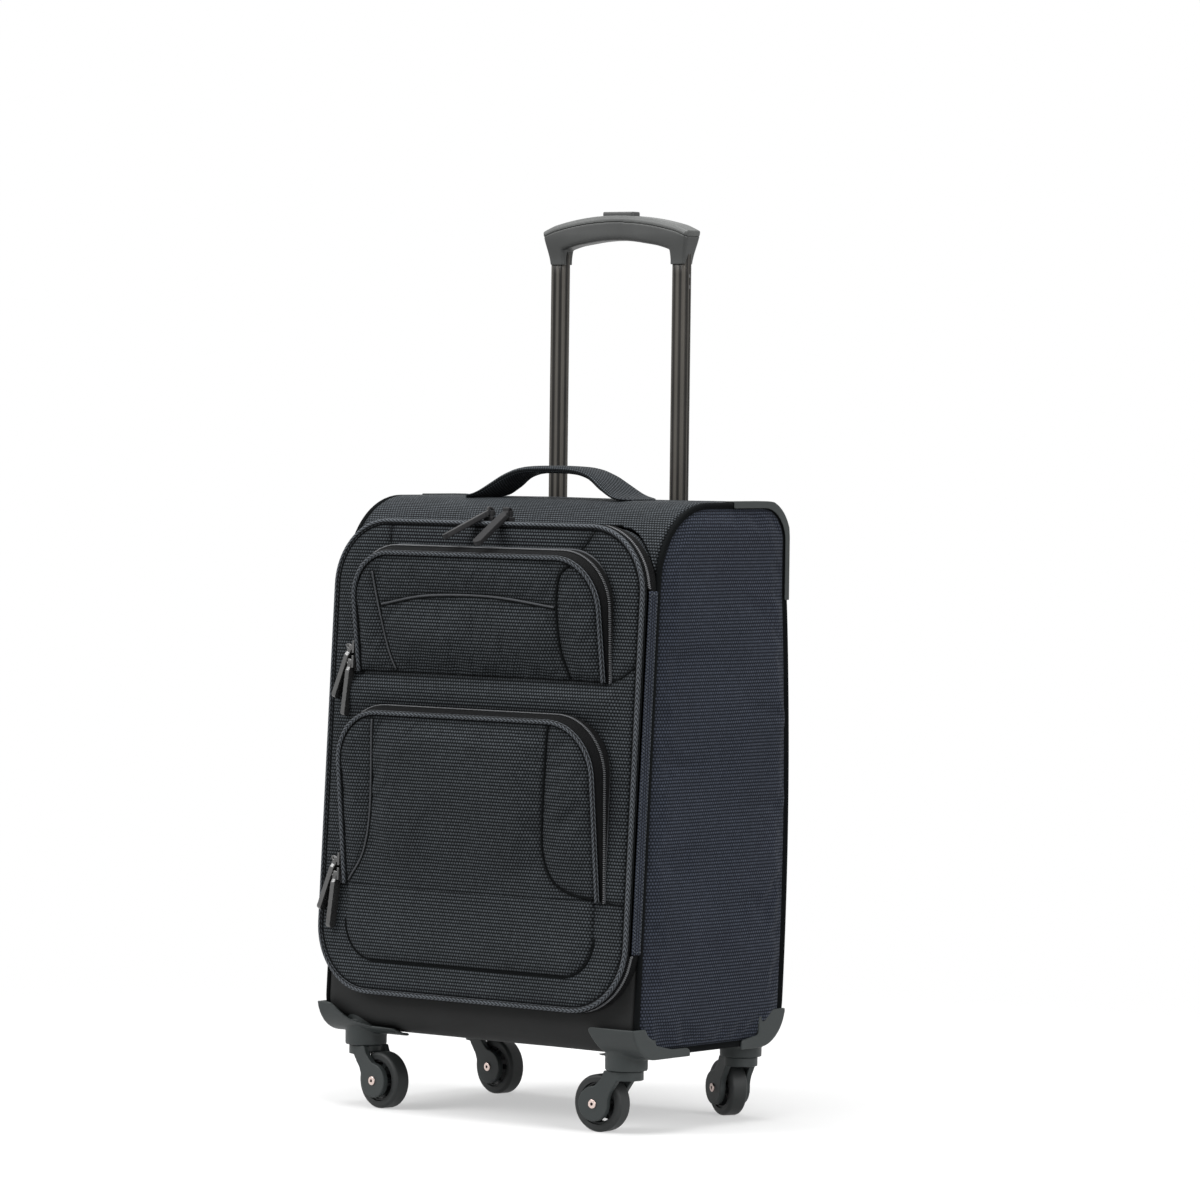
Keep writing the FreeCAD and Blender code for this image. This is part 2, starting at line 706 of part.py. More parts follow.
def grip_whole():
    """Arched grip with two flared legs, before it is split."""
    y = rear_y + trolley_y - grip_thickness / 2
    top = grip_arc(grip_shoulder, grip_crown, grip_half_width)
    root = tube_x - leg_root_inside
    under = grip_arc(grip_under_shoulder, grip_under_crown, root)
    right = [(grip_half_width, grip_shoulder), (tube_x + leg_outside, grip_bottom),
             (tube_x - leg_inside, grip_bottom), (root, grip_under_shoulder)]
    lines = []
    for side in (-1, 1):
        corners = [V(side * x, y, z) for x, z in right]
        lines += [Part.LineSegment(a, b).toShape() for a, b in zip(corners, corners[1:])]
    outline = Part.Wire(Part.__sortEdges__([top, under] + lines))
    solid = Part.Face(outline).extrude(V(0, grip_thickness, 0))
    sides = (y, y + grip_thickness)
    rims = []
    for edge in solid.Edges:
        reach = edge.BoundBox
        flat = any(abs(reach.YMin - side) < 0.01 and abs(reach.YMax - side) < 0.01 for side in sides)
        if flat and reach.ZMax > grip_bottom + 1:
            rims.append(edge)
    return solid.makeFillet(grip_fillet, rims)


def grip_parts():
    """Lower body and upper cover of the grip, with their hollows."""
    y = rear_y + trolley_y
    whole = grip_whole()
    parting = grip_arc(grip_shoulder - cover_thickness, grip_crown - cover_thickness, grip_half_width + 1)
    left, right = parting.valueAt(parting.FirstParameter), parting.valueAt(parting.LastParameter)
    low = grip_bottom - 10
    floor = [V(right.x, right.y, low), V(left.x, left.y, low)]
    edges = [parting, Part.LineSegment(right, floor[0]).toShape(), Part.LineSegment(*floor).toShape(),
             Part.LineSegment(floor[1], left).toShape()]
    below = Part.Face(Part.Wire(edges)).extrude(V(0, grip_thickness, 0))
    body, cover = whole.common(below), whole.cut(below)
    cavity = box((-cavity_half[0], cavity_half[0]), (y - cavity_half[1], y + cavity_half[1]),
                 (cavity_floor, grip_crown - cover_thickness))
    channel_half = yoke_half_width + rod_clearance
    channel = box((-yoke_half_length - 2, yoke_half_length + 2), (y - channel_half, y + channel_half),
                  (cavity_floor, channel_top))
    slot_half = [half + button_gap for half in button_half]
    slot = box((-slot_half[0], slot_half[0]), (y - slot_half[1], y + slot_half[1]), (cavity_floor, grip_crown + 10))
    body = body.cut(cavity).cut(channel)
    cover = cover.cut(channel).cut(slot)
    seat = tuple(side + 2 * tube_clearance for side in inner_tube)
    for x in (-tube_x, tube_x):
        body = body.cut(stadium(seat, x, y, (grip_bottom - 1, grip_bottom + socket_depth)))
        bore = Part.makeCylinder(rod_radius + rod_clearance, channel_top - grip_bottom, V(x, y, grip_bottom))
        body = body.cut(bore)
        cover = cover.cut(bore)
    return body, cover


def grip_button():
    """Push button in the crown of the grip, kept in by a flange."""
    y = rear_y + trolley_y
    half_x, half_y = button_half
    flange_x, flange_y, flange = button_flange
    shaft_top = grip_crown + button_proud
    flange_low = grip_crown - cover_thickness - button_stop - flange
    corners = [(-half_x, y - half_y), (half_x, y - half_y), (half_x, y + half_y), (-half_x, y + half_y)]
    shaft = prism(corners, [button_corner] * 4, "z", flange_low, shaft_top)
    top_edges = [edge for edge in shaft.Edges if edge.BoundBox.ZMin > shaft_top - 0.01]
    shaft = shaft.makeFillet(button_edge, top_edges)
    plate = box((-flange_x, flange_x), (y - flange_y, y + flange_y), (flange_low, flange_low + flange))
    foot_bottom = yoke_bottom + yoke_thickness + button_gap
    foot = box((-button_foot_half, button_foot_half), (y - yoke_half_width, y + yoke_half_width),
               (foot_bottom, flange_low))
    return shaft.fuse([plate, foot]).removeSplitter(), flange_low


def button_springs(flange_low):
    """Two springs under the button, as sleeves of the coils' outer size."""
    y = rear_y + trolley_y
    height = flange_low - cavity_floor - 2 * seam_gap
    springs = []
    for side in (-1, 1):
        centre = V(0, y + side * spring_y, cavity_floor + seam_gap)
        sleeve = Part.makeCylinder(spring_radius, height, centre)
        springs.append(sleeve.cut(Part.makeCylinder(spring_radius - spring_wire, height, centre)))
    return Part.makeCompound(springs)


def release_rods():
    """Yoke under the button with a rod down each inner tube."""
    y = rear_y + trolley_y
    yoke = box((-yoke_half_length, yoke_half_length), (y - yoke_half_width, y + yoke_half_width),
               (yoke_bottom, yoke_bottom + yoke_thickness))
    length = yoke_bottom - rod_bottom + 1
    rods = [Part.makeCylinder(rod_radius, length, V(x, y, rod_bottom)) for x in (-tube_x, tube_x)]
    return yoke.fuse(rods).removeSplitter()


def rivet_shanks(radius):
    """Short bars through the outer side of each inner tube, below the grip."""
    y = rear_y + trolley_y
    start = tube_x + inner_tube[0] / 2 - rivet_length
    heights = [grip_bottom - drop for drop in rivet_drops]
    shanks = [Part.makeCylinder(radius, 2 * rivet_length, V(start, y, z), X_AXIS) for z in heights]
    return shanks + [mirrored(shank) for shank in shanks]


def tube_rivets():
    """Flush rivets that follow the round side of the inner tubes."""
    y = rear_y + trolley_y
    z_range = (grip_bottom - max(rivet_drops) - 10, grip_bottom)
    tubes = at_tubes(lambda: stadium(inner_tube, tube_x, y, z_range))
    return Part.makeCompound([shank.common(tubes) for shank in rivet_shanks(rivet_radius)])


def inner_tubes():
    """The pair of tubes that carry the grip, drilled for its rivets."""
    tubes = at_tubes(lambda: hollow_tube(inner_tube, inner_tube_bottom, grip_bottom + socket_depth - seam_gap))
    for shank in rivet_shanks(rivet_radius + rivet_clearance):
        tubes = tubes.cut(shank)
    return tubes


# ---- casters -------------------------------------------------------------------------
def wing_shell():
    """Skin of guard thickness round the whole case, that the castings are cut from."""
    outer = case_block(-guard_thickness, half_width + guard_thickness)
    return outer.cut(case_block(0, half_width))


def front_casting(side, skin, swivel_y):
    """Front corner casting: one long swept wing and one short one."""
    low, high, tail = boss_bottom, case_bottom + wing_rise, case_bottom + wing_tail_rise
    front = front_y(case_bottom) - guard_thickness - 2
    edge = half_width + guard_thickness + 2
    sweep = [(0, low), (0, high), (18, high), (34, tail + 5), (56, tail), (84, tail - 1), (84, low)]
    short = [(0, low), (0, high), (54, high), (46, tail - 2), (32, low)]
    sweep_radii, short_radii = [0, 0, 8, 20, 0, 5, 5], [0, 0, 3, 6, 0]
    # on the right the side wing is the long one, on the left the front wing is
    along, across = (sweep, short) if side > 0 else (short, sweep)
    along_radii, across_radii = (sweep_radii, short_radii) if side > 0 else (short_radii, sweep_radii)
    side_view = prism([(front + a, z) for a, z in along], along_radii, "x", 0, FAR)
    front_view = prism([(edge - a, z) for a, z in across], across_radii, "y", -FAR, FAR)
    side_wing = skin.common(side_view).common(box((half_width, FAR), (-FAR, FAR), (0, FAR)))
    inner = case_block(front_bottom_radius * 0.5, FAR)
    front_wing = skin.common(front_view).cut(inner).common(box((0, FAR), (-FAR, front + wing_reach), (0, FAR)))
    floor_end = swivel_y + boss_radius + boss_margin
    floor = skin.common(box((boss_x_inner(), FAR), (-FAR, floor_end), (0, case_bottom)))
    return side_wing.fuse([front_wing, floor])


def rear_casting(skin, swivel_y):
    """Rear corner casting: wings that follow the lower rear bend."""
    low, high, tail = boss_bottom, case_bottom + rear_wing_rise, case_bottom + wing_tail_rise
    outside = rear_y + guard_thickness + 3.6
    rise = [(outside, low), (outside, high), (rear_y - 2, high - 6), (rear_y - 24, tail + 5),
            (rear_y - rear_wing_reach, tail), (rear_y - rear_wing_reach - 2, low)]
    side_view = prism(rise, [0, 2, 10, 20, 4, 0], "x", 0, FAR)
    edge = half_width + guard_thickness + 3.6
    back_outline = [(edge, low), (edge, high), (half_width - 50, high), (half_width - 62, low)]
    back_view = prism(back_outline, [0, 0, 6, 0], "y", -FAR, FAR)
    side_wing = skin.common(side_view).common(box((half_width, FAR), (-FAR, FAR), (0, FAR)))
    back_wing = skin.common(back_view).common(box((0, FAR), (rear_y - wing_reach, FAR), (0, FAR)))
    floor_start = swivel_y - boss_radius - boss_margin
    floor = skin.common(box((boss_x_inner(), FAR), (floor_start, FAR), (0, case_bottom)))
    return side_wing.fuse([back_wing, floor])


def boss_x_inner():
    """Inner edge of a casting's floor."""
    return caster_x - boss_radius - boss_margin


def caster_castings():
    """All four castings, each with the round boss that its fork swivels under."""
    skin = wing_shell()
    castings = []
    for name, side, y, _heading in casters:
        swivel_y = rear_y + y
        front = name.startswith("front")
        casting = front_casting(side, skin, swivel_y) if front else rear_casting(skin, swivel_y)
        boss = Part.makeCylinder(boss_radius, boss_top - boss_bottom, V(caster_x, swivel_y, boss_bottom))
        bore = Part.makeCylinder(kingpin_radius + fit_gap, FAR, V(caster_x, swivel_y, 0))
        casting = casting.fuse(boss).removeSplitter().cut(bore)
        castings.append(casting if side > 0 else mirrored(casting))
    return Part.makeCompound(castings)


def boss_holes(grow):
    """The bosses, a little larger, for what they pass through."""
    return [Part.makeCylinder(boss_radius + grow, boss_top, V(side * caster_x, rear_y + y, 0))
            for _name, side, y, _heading in casters]


def kingpins():
    """Swivel pins: pressed in the bosses, their heads under the forks."""
    neck_bottom = boss_bottom - swivel_gap - neck_height
    pins = []
    for _name, side, y, _heading in casters:
        x, swivel_y = side * caster_x, rear_y + y
        head_low = neck_bottom + kingpin_recess
        shaft = Part.makeCylinder(kingpin_radius, boss_top - head_low, V(x, swivel_y, head_low))
        head = Part.makeCylinder(kingpin_head_radius, kingpin_head, V(x, swivel_y, head_low))
        pins.append(shaft.fuse(head).removeSplitter())
    return Part.makeCompound(pins)


def place_caster(shape, side, y, heading):
    """Turn a caster piece to its heading and set it under its boss."""
    placed = shape.copy()
    placed.rotate(V(0, 0, 0), Z_AXIS, heading)
    placed.translate(V(side * caster_x, rear_y + y, 0))
    return placed


def caster_fork():
    """Fork with two S-shaped arms; the wheel trails along +X."""
    top = boss_bottom - swivel_gap
    neck_bottom = top - neck_height
    neck = Part.makeCylinder(neck_radius, neck_height, V(0, 0, neck_bottom))
    left, right = trail - arm_disc, trail + arm_disc
    low, high = wheel_radius - arm_disc, wheel_radius + arm_disc
    arm_outline = [(-2, top), (0.5, top - 9.7), (left, high - 8), (left, low), (right, low), (right, high),
                   (trail - 1, high), (16, top - 6.7), (13.5, top)]
    radii = [0, 10, 18, arm_disc, arm_disc, arm_disc, arm_bend, arm_bend, 0]
    arm = prism(arm_outline, radii, "y", arm_inner, arm_outer)
    fork = neck.fuse([arm, arm.mirror(V(0, 0, 0), Y_AXIS)]).removeSplitter()
    relief = V(trail, -arm_inner, wheel_radius)
    fork = fork.cut(Part.makeCylinder(wheel_radius + wheel_relief, 2 * arm_inner, relief, Y_AXIS))
    fork = fork.cut(Part.makeCylinder(kingpin_radius + running_gap, FAR, V(0, 0, 0)))
    recess = kingpin_head + kingpin_recess + swivel_gap
    fork = fork.cut(Part.makeCylinder(kingpin_head_radius + kingpin_head_gap, recess, V(0, 0, neck_bottom)))
    return fork.cut(Part.makeCylinder(axle_radius + fit_gap, FAR, V(trail, -FAR / 2, wheel_radius), Y_AXIS))


def caster_axle():
    """Tubular rivet through the arms and the hub."""
    half = arm_outer + 0.05
    parts = [Part.makeCylinder(axle_radius, 2 * half, V(trail, -half, wheel_radius), Y_AXIS)]
    for side in (-1, 1):
        start = V(trail, side * half, wheel_radius)
        head = Part.makeCylinder(axle_head_radius, axle_head, start, Y_AXIS * side)
        rim = [edge for edge in head.Edges if abs(edge.BoundBox.Center.y * side - half - axle_head) < 0.01]
        parts.append(head.makeFillet(axle_head_fillet, rim))
    axle = parts[0].fuse(parts[1:]).removeSplitter()
    return axle.cut(Part.makeCylinder(axle_bore, FAR, V(trail, -FAR / 2, wheel_radius), Y_AXIS))


def caster_hub():
    """Spoked wheel centre with a rim inside the tyre."""
    def drum(radius, width):
        return Part.makeCylinder(radius, width, V(trail, -width / 2, wheel_radius), Y_AXIS)
    outer = tyre_inner - fit_gap
    hub = drum(outer, hub_width).cut(drum(outer - hub_rim, hub_width + 2))
    spokes = [drum(hub_boss, 2 * (arm_inner - hub_side_gap))]
    for index in range(hub_spokes):
        spoke = Part.makeBox(outer - 1, hub_width - 4, spoke_width, V(0, -hub_width / 2 + 2, -spoke_width / 2))
        spoke.rotate(V(0, 0, 0), Y_AXIS, index * 360 / hub_spokes)
        spoke.translate(V(trail, 0, wheel_radius))
        spokes.append(spoke)
    hub = hub.fuse(spokes).removeSplitter()
    return hub.cut(drum(axle_radius + running_gap, FAR))


def caster_tyre():
    """Ring of soft tread."""
    centre = V(trail, -tyre_width / 2, wheel_radius)
    tyre = Part.makeCylinder(wheel_radius, tyre_width, centre, Y_AXIS)
    rims = [edge for edge in tyre.Edges if edge.Curve.TypeId == "Part::GeomCircle"]
    tyre = tyre.makeFillet(tyre_fillet, rims)
    return tyre.cut(Part.makeCylinder(tyre_inner, tyre_width, centre, Y_AXIS))


# ---- everything together -------------------------------------------------------------
def build_all():
    """All pieces by node name."""
    back, top, bottom = shell_parts()
    cup, cup_space = handle_cup()
    top = top.cut(cup_space)
    for hole in boss_holes(seam_gap):
        bottom = bottom.cut(hole)
    panel = side_panel()
    guard = corner_guard()
    piping = side_piping()
    body, cover = grip_parts()
    button, flange_low = grip_button()
    outer_top = cup_floor_top - cup_floor - seam_gap
    middle_top = cup_floor_top - seam_gap
    nodes = {
        "back_panel": back, "top_panel": top, "bottom_tray": bottom,
        "left_side_panel": mirrored(panel), "right_side_panel": panel,
        "side_piping": Part.makeCompound([piping, mirrored(piping)]),
        "corner_guards": Part.makeCompound([guard, mirrored(guard)]),
        "front_frame": front_frame(),
        "main_zip_case": zip_ring(seam_gap, zip_half),
        "lid_hinge_strip": hinge_strip(),
        "carry_handle": carry_handle(),
        "handle_cup": cup,
        "back_liner": back_liner(),
        "trolley_base": trolley_base(),
        "outer_tubes": at_tubes(lambda: hollow_tube(outer_tube, tube_bottom, outer_top)),
        "middle_tubes": at_tubes(lambda: hollow_tube(middle_tube, middle_tube_bottom, middle_top)),
        "inner_tubes": inner_tubes(),
        "grip_body": body, "grip_cover": cover, "grip_button": button,
        "button_springs": button_springs(flange_low),
        "release_rods": release_rods(),
        "tube_rivets": tube_rivets(),
        "lid_panel": lid_panel(), "lid_rim": lid_rim(), "lid_piping": lid_piping(),
        "main_zip_lid": zip_ring(zip_half + zip_gap, lid_back),
        "pocket_gussets": Part.makeCompound([pocket_gusset(upper_pocket), pocket_gusset(lower_pocket)]),
        "lower_pocket_foot": pocket_foot(),
        "upper_flap": pocket_flap(upper_pocket), "upper_flap_piping": flap_piping(upper_pocket),
        "lower_flap": pocket_flap(lower_pocket), "lower_flap_piping": flap_piping(lower_pocket),
        "caster_castings": caster_castings(), "kingpins": kingpins(),
    }
    places = {"main": [main_slider_place(index) for index in (0, 1)],
              "upper": [side_slider_place(upper_pocket, index) for index in (0, 1)],
              "lower": [side_slider_place(lower_pocket, index) for index in (0, 1)]}
    for zip_name, pair in places.items():
        nodes[zip_name + "_sliders"] = on_lid(Part.makeCompound([slider for slider, _pull, _bar in pair]))
        for letter, (_slider, pull, _bar) in zip("ab", pair):
            nodes[zip_name + "_pull_" + letter] = on_lid(pull)
    pieces = {"fork": caster_fork(), "axle": caster_axle(), "hub": caster_hub(), "tyre": caster_tyre()}
    for name, side, y, heading in casters:
        for piece_name, shape in pieces.items():
            nodes[name + "_" + piece_name] = place_caster(shape, side, y, heading)
    return nodes


def main():
    """Write every node as one STEP file."""
    os.makedirs("parts", exist_ok=True)
    for name, shape in build_all().items():
        shape.exportStep("parts/" + name + ".step")
        print(name, len(shape.Solids), round(shape.Volume), shape.isValid())


if __name__ == "__main__":
    main()
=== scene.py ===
import json
import math

import bmesh
import bpy
import numpy as np
from bpy.props import FloatProperty, FloatVectorProperty, PointerProperty
from mathutils import Matrix, Vector


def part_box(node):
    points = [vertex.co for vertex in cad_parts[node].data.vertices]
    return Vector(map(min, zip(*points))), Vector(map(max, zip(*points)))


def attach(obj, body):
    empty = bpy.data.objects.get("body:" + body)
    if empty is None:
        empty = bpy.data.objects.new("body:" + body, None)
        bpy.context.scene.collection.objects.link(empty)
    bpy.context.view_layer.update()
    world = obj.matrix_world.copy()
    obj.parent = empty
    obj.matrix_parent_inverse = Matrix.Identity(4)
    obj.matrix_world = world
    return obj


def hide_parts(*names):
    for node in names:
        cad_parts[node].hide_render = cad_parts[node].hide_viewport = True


bl_info = {
    "name": "Softside Suitcase",
    "version": (1, 0, 0),
    "blender": (4, 5, 0),
    "location": "View3D > Sidebar > Suitcase",
    "description": "Builds the fabric, zips, handles and wheels of a softside upright suitcase",
    "category": "Object",
}

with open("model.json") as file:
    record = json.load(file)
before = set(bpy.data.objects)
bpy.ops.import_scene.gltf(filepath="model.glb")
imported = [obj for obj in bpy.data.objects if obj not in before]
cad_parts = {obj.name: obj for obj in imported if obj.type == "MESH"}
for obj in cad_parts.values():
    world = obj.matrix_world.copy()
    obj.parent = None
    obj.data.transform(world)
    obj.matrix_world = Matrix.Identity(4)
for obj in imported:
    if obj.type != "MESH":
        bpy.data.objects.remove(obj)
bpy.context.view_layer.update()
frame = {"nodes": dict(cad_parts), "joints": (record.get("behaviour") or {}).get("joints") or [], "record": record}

# ---- places read from the frame, in metres ------------------------------------------
X_AXIS, Y_AXIS, Z_AXIS = Vector((1, 0, 0)), Vector((0, 1, 0)), Vector((0, 0, 1))
PIPING_LOW, PIPING_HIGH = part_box("side_piping")
CASE_LOW, CASE_HIGH = PIPING_LOW.z, PIPING_HIGH.z
CASE_HALF, CASE_REAR = PIPING_HIGH.x, PIPING_HIGH.y
LID_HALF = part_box("lid_piping")[1].x


def joint(name):
    """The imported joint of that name."""
    return next(entry for entry in frame["joints"] if entry["name"] == name)


class Plane:
    """A flat frame: across and up lie in it, and out stands on it."""

    def __init__(self, origin, across, up):
        self.origin, self.across, self.up = Vector(origin), Vector(across), Vector(up)
        self.out = self.across.cross(self.up)

    def at(self, a, b, h):
        """Points for arrays of distances across, up and out."""
        a, b, h = np.broadcast_arrays(a, b, h)
        return (np.array(self.origin) + a[..., None] * np.array(self.across)
                + b[..., None] * np.array(self.up) + h[..., None] * np.array(self.out))

    def point(self, a, b, h=0.0):
        """One point of it."""
        return self.origin + self.across * a + self.up * b + self.out * h

    def leaned(self, base, hinge, angle):
        """The plane leant outwards about a line through hinge, keeping heights along it."""
        up = self.up * math.cos(angle) + self.out * math.sin(angle)
        return Plane(hinge - up * base, self.across, up)


# ---- sizes of the construction, in metres --------------------------------------------
SEAM_TO_HINGE = 0.00235            # the lid turns this far in front of its seam plane
HINGE_LOW, HINGE_HIGH = 0.156, 0.470
LID_LOW, LID_HIGH, LID_CORNER = 0.104, 0.524, 0.060
LID_FACE = 0.0113                  # depth of the lid's front in front of the seam plane
LID_CORD_DEPTH = 0.0096
SETBACK = 0.006                    # the side cords run this far behind the seam plane
CASE_RADII = (0.035, 0.035, 0.070, 0.030)   # rear bottom, rear top, front top, front bottom
CORD = 0.0023                      # radius of the case's and the lid's cords
POCKET_FACE = 0.0148               # depth of a closed flap at its hinge
POCKET_HEEL = 0.001                # depth of a pocket's wall at its hinge
FOOT_LOW, FOOT_HALF, FOOT_CORNER = 0.134, 0.1415, 0.035
WRAP_HALF = 0.1732                 # half the width of the cloth round the case
GUARD_LOW, GUARD_REACH = 0.085, 0.375   # the case's cloth swells over this stretch of its height
SIDE_SWELL, BACK_SWELL = 0.0034, 0.0022
FRONT_CLOTH, SIDE_CLOTH, FLAP_CLOTH = 0.0026, 0.0022, 0.0020   # thickness with the padding
TUBE_HALF = 0.009                  # half the width of an inner tube
LINE_STEP, POCKET_STEP = 0.003, 0.0025  # spacing of the points along a cord
FAR_AWAY = 9.0

hinge = joint("lid_hinge")
LID_UP = Vector(hinge["axis"]).normalized()
hinge_point = Vector(hinge["pos_m"])
lid_origin = Plane((0, 0, 0), X_AXIS, LID_UP)
LID = Plane(hinge_point - X_AXIS * hinge_point.x - lid_origin.out * SEAM_TO_HINGE
            - LID_UP * (HINGE_LOW + HINGE_HIGH) / 2, X_AXIS, LID_UP)


class Pocket:
    """Outline and closed flap of one pocket on the lid."""

    def __init__(self, name, half, base, top, corner, depth):
        self.name, self.half, self.base, self.top, self.corner = name, half, base, top, corner
        self.angle = math.atan((depth - POCKET_HEEL) / (top - base))
        turn = Vector(joint(name + "_flap_hinge")["pos_m"])
        turn.x = 0
        self.plane = LID.leaned(base, turn, self.angle)

    def arch(self, inset):
        """Open outline from the lower left, over the top, to the lower right."""
        half, top, corner = self.half - inset, self.top - inset, self.corner - inset
        corners = [(-half, self.base), (-half, top), (half, top), (half, self.base)]
        return rounded(corners, [0, corner, corner, 0], closed=False)


def rounded(corners, radii, closed=True, step=math.radians(6)):
    """Outline in a plane whose corners are arcs; a zero radius keeps the corner."""
    points, count = [], len(corners)
    for index, (corner, radius) in enumerate(zip(corners, radii)):
        corner = Vector(corner)
        if radius <= 0 or (not closed and index in (0, count - 1)):
            points.append(corner)
            continue
        before = (Vector(corners[index - 1]) - corner).normalized()
        after = (Vector(corners[(index + 1) % count]) - corner).normalized()
        half = before.angle(after) / 2
        centre = corner + (before + after).normalized() * (radius / math.sin(half))
        start = corner + before * (radius / math.tan(half)) - centre
        turn = math.pi - 2 * half
        if before.x * after.y - before.y * after.x > 0:
            turn = -turn
        steps = max(2, math.ceil(abs(turn) / step))
        points += [centre + Matrix.Rotation(turn * k / steps, 2) @ start for k in range(steps + 1)]
    return np.array([tuple(point) for point in points])


UPPER = Pocket("upper", 0.141, 0.388, 0.497, 0.046, 0.021)
LOWER = Pocket("lower", 0.146, 0.200, 0.356, 0.048, 0.024)


def front_y(height):
    """Y of the case's front edge at a height."""
    low = LID.point(0, 0, -SETBACK)
    return low.y + (height - low.z) * LID_UP.y / LID_UP.z


def points_of(piece):
    """Places of a piece's points, one row each."""
    return np.array([vertex.co for vertex in piece.data.vertices])


def move_points(piece, points):
    """Put the points of a piece at new places."""
    piece.data.vertices.foreach_set("co", points.astype(np.float32).ravel())
    piece.data.update()


def set_painted_shade(piece, values):
    """Keep on each point how much painted shade it gets from the seam or groove it lies in."""
    painted_shade = piece.data.attributes.new("painted_shade", "FLOAT", "POINT")
    painted_shade.data.foreach_set("value", values.astype(np.float32))


def bowed(piece):
    """Let the case fabric swell a little between its guards and its castings."""
    front, fade = 0.05, 0.12
    points = points_of(piece)
    share = np.clip((points[:, 2] - GUARD_LOW) / GUARD_REACH, 0, 1)
    swell = np.sin(share * math.pi) ** 0.8 * soft_step((points[:, 1] + front) / fade)
    towards_side = (np.abs(points[:, 0]) / CASE_HALF) ** 6
    points[:, 0] += np.sign(points[:, 0]) * SIDE_SWELL * swell * towards_side
    points[:, 1] += BACK_SWELL * swell
    move_points(piece, points)
    return piece


def soft_step(share):
    """Smooth rise from 0 to 1."""
    share = np.clip(share, 0, 1)
    return share * share * (3 - 2 * share)


def case_outline(inset):
    """Outline of the case from the side as (y, z), moved inwards."""
    lean = inset / LID_UP.z
    low, high = CASE_LOW + inset, CASE_HIGH - inset
    corners = [(CASE_REAR - inset, low), (CASE_REAR - inset, high),
               (front_y(high) + lean, high), (front_y(low) + lean, low)]
    return rounded(corners, [radius - inset for radius in CASE_RADII])


def lid_outline(inset):
    """Outline of the lid as (x, height), moved inwards, from the lower right upwards."""
    half, low, high = LID_HALF - inset, LID_LOW + inset, LID_HIGH - inset
    corners = [(half, low), (half, high), (-half, high), (-half, low)]
    return rounded(corners, [LID_CORNER - inset] * 4)


# ---- meshes ----------------------------------------------------------------------------
def link(obj):
    """Put an object in the scene."""
    bpy.context.scene.collection.objects.link(obj)
    return obj


def grid_piece(name, points, texture, wrap_rows=False, wrap_columns=False, caps=False, outwards=False):
    """Mesh of rows of points, with a texture place in metres for every corner."""
    rows, columns = points.shape[:2]
    mesh = bpy.data.meshes.new(name)
    row, column = np.meshgrid(np.arange(rows - 1 + wrap_rows), np.arange(columns - 1 + wrap_columns),
                              indexing="ij")
    row, column = row.ravel(), column.ravel()
    next_row, next_column = (row + 1) % rows, (column + 1) % columns
    faces = np.stack([row * columns + column, row * columns + next_column,
                      next_row * columns + next_column, next_row * columns + column], 1).tolist()
    places = np.stack([texture[row, column], texture[row, column + 1],
                       texture[row + 1, column + 1], texture[row + 1, column]], 1).reshape(-1, 2)
    if caps:
        ring = list(range(columns))
        last = [(rows - 1) * columns + index for index in ring]
        faces += [ring[::-1], last]
        flat = np.concatenate([texture[0, :columns][::-1], texture[-1, :columns]])
        places = np.concatenate([places, flat])
    mesh.from_pydata(points.reshape(-1, 3).tolist(), [], faces)
    layer = mesh.uv_layers.new(name="weave")
    layer.data.foreach_set("uv", places.astype(np.float32).ravel())
    if outwards:
        work = bmesh.new()
        work.from_mesh(mesh)
        bmesh.ops.recalc_face_normals(work, faces=work.faces)
        work.to_mesh(mesh)
        work.free()
    mesh.shade_smooth()
    return link(bpy.data.objects.new(name, mesh))


def settle(piece):
    """Apply a piece's modifiers to its mesh."""
    bpy.context.view_layer.update()
    evaluated = piece.evaluated_get(bpy.context.evaluated_depsgraph_get())
    mesh = bpy.data.meshes.new_from_object(evaluated)
    piece.modifiers.clear()
    piece.data = mesh
    mesh.name = piece.name
    return piece


def thicken(piece, thickness, lining=False):
    """Give a sheet its thickness, inwards; a lining gives its inner face the next material."""
    wall = piece.modifiers.new("wall", "SOLIDIFY")
    wall.thickness, wall.offset = thickness, -1
    if lining:
        wall.material_offset = 1
    return settle(piece)


def finish_piece(piece, body, materials, replaces=()):
    """Ride a finished piece on its body and give it its materials."""
    for finish in materials:
        piece.data.materials.append(finish)
    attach(piece, body)
    if replaces:
        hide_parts(*replaces)
    return piece


def join_pieces(name, pieces):
    """Several loose pieces as one object."""
    work = bmesh.new()
    for piece in pieces:
        work.from_mesh(piece.data)
        bpy.data.objects.remove(piece)
    mesh = bpy.data.meshes.new(name)
    work.to_mesh(mesh)
    work.free()
    mesh.shade_smooth()
    return link(bpy.data.objects.new(name, mesh))


def mirrored(piece, name):
    """Copy of a piece on the other side of the case."""
    mesh = piece.data.copy()
    mesh.transform(Matrix.Scale(-1, 4, X_AXIS))
    mesh.flip_normals()
    mesh.name = name
    return link(bpy.data.objects.new(name, mesh))


def closed_line(outline):
    """Outline with its first point again at the end."""
    return np.vstack([outline, outline[:1]])


def lengths_along(points):
    """Distance from the start to each point of a line."""
    steps = np.linalg.norm(np.diff(points, axis=0), axis=1)
    return np.concatenate([[0.0], np.cumsum(steps)])


def resampled(line, count):
    """The line as a fixed number of evenly spaced points."""
    along = lengths_along(line)
    places = np.linspace(0, along[-1], count)
    return np.stack([np.interp(places, along, line[:, axis]) for axis in range(line.shape[1])], 1)


def even_points(points, spacing, closed=False):
    """Points spaced evenly along a line."""
    line = closed_line(points) if closed else points
    count = max(2, round(lengths_along(line)[-1] / spacing))
    even = resampled(line, count + 1)
    return even[:-1] if closed else even


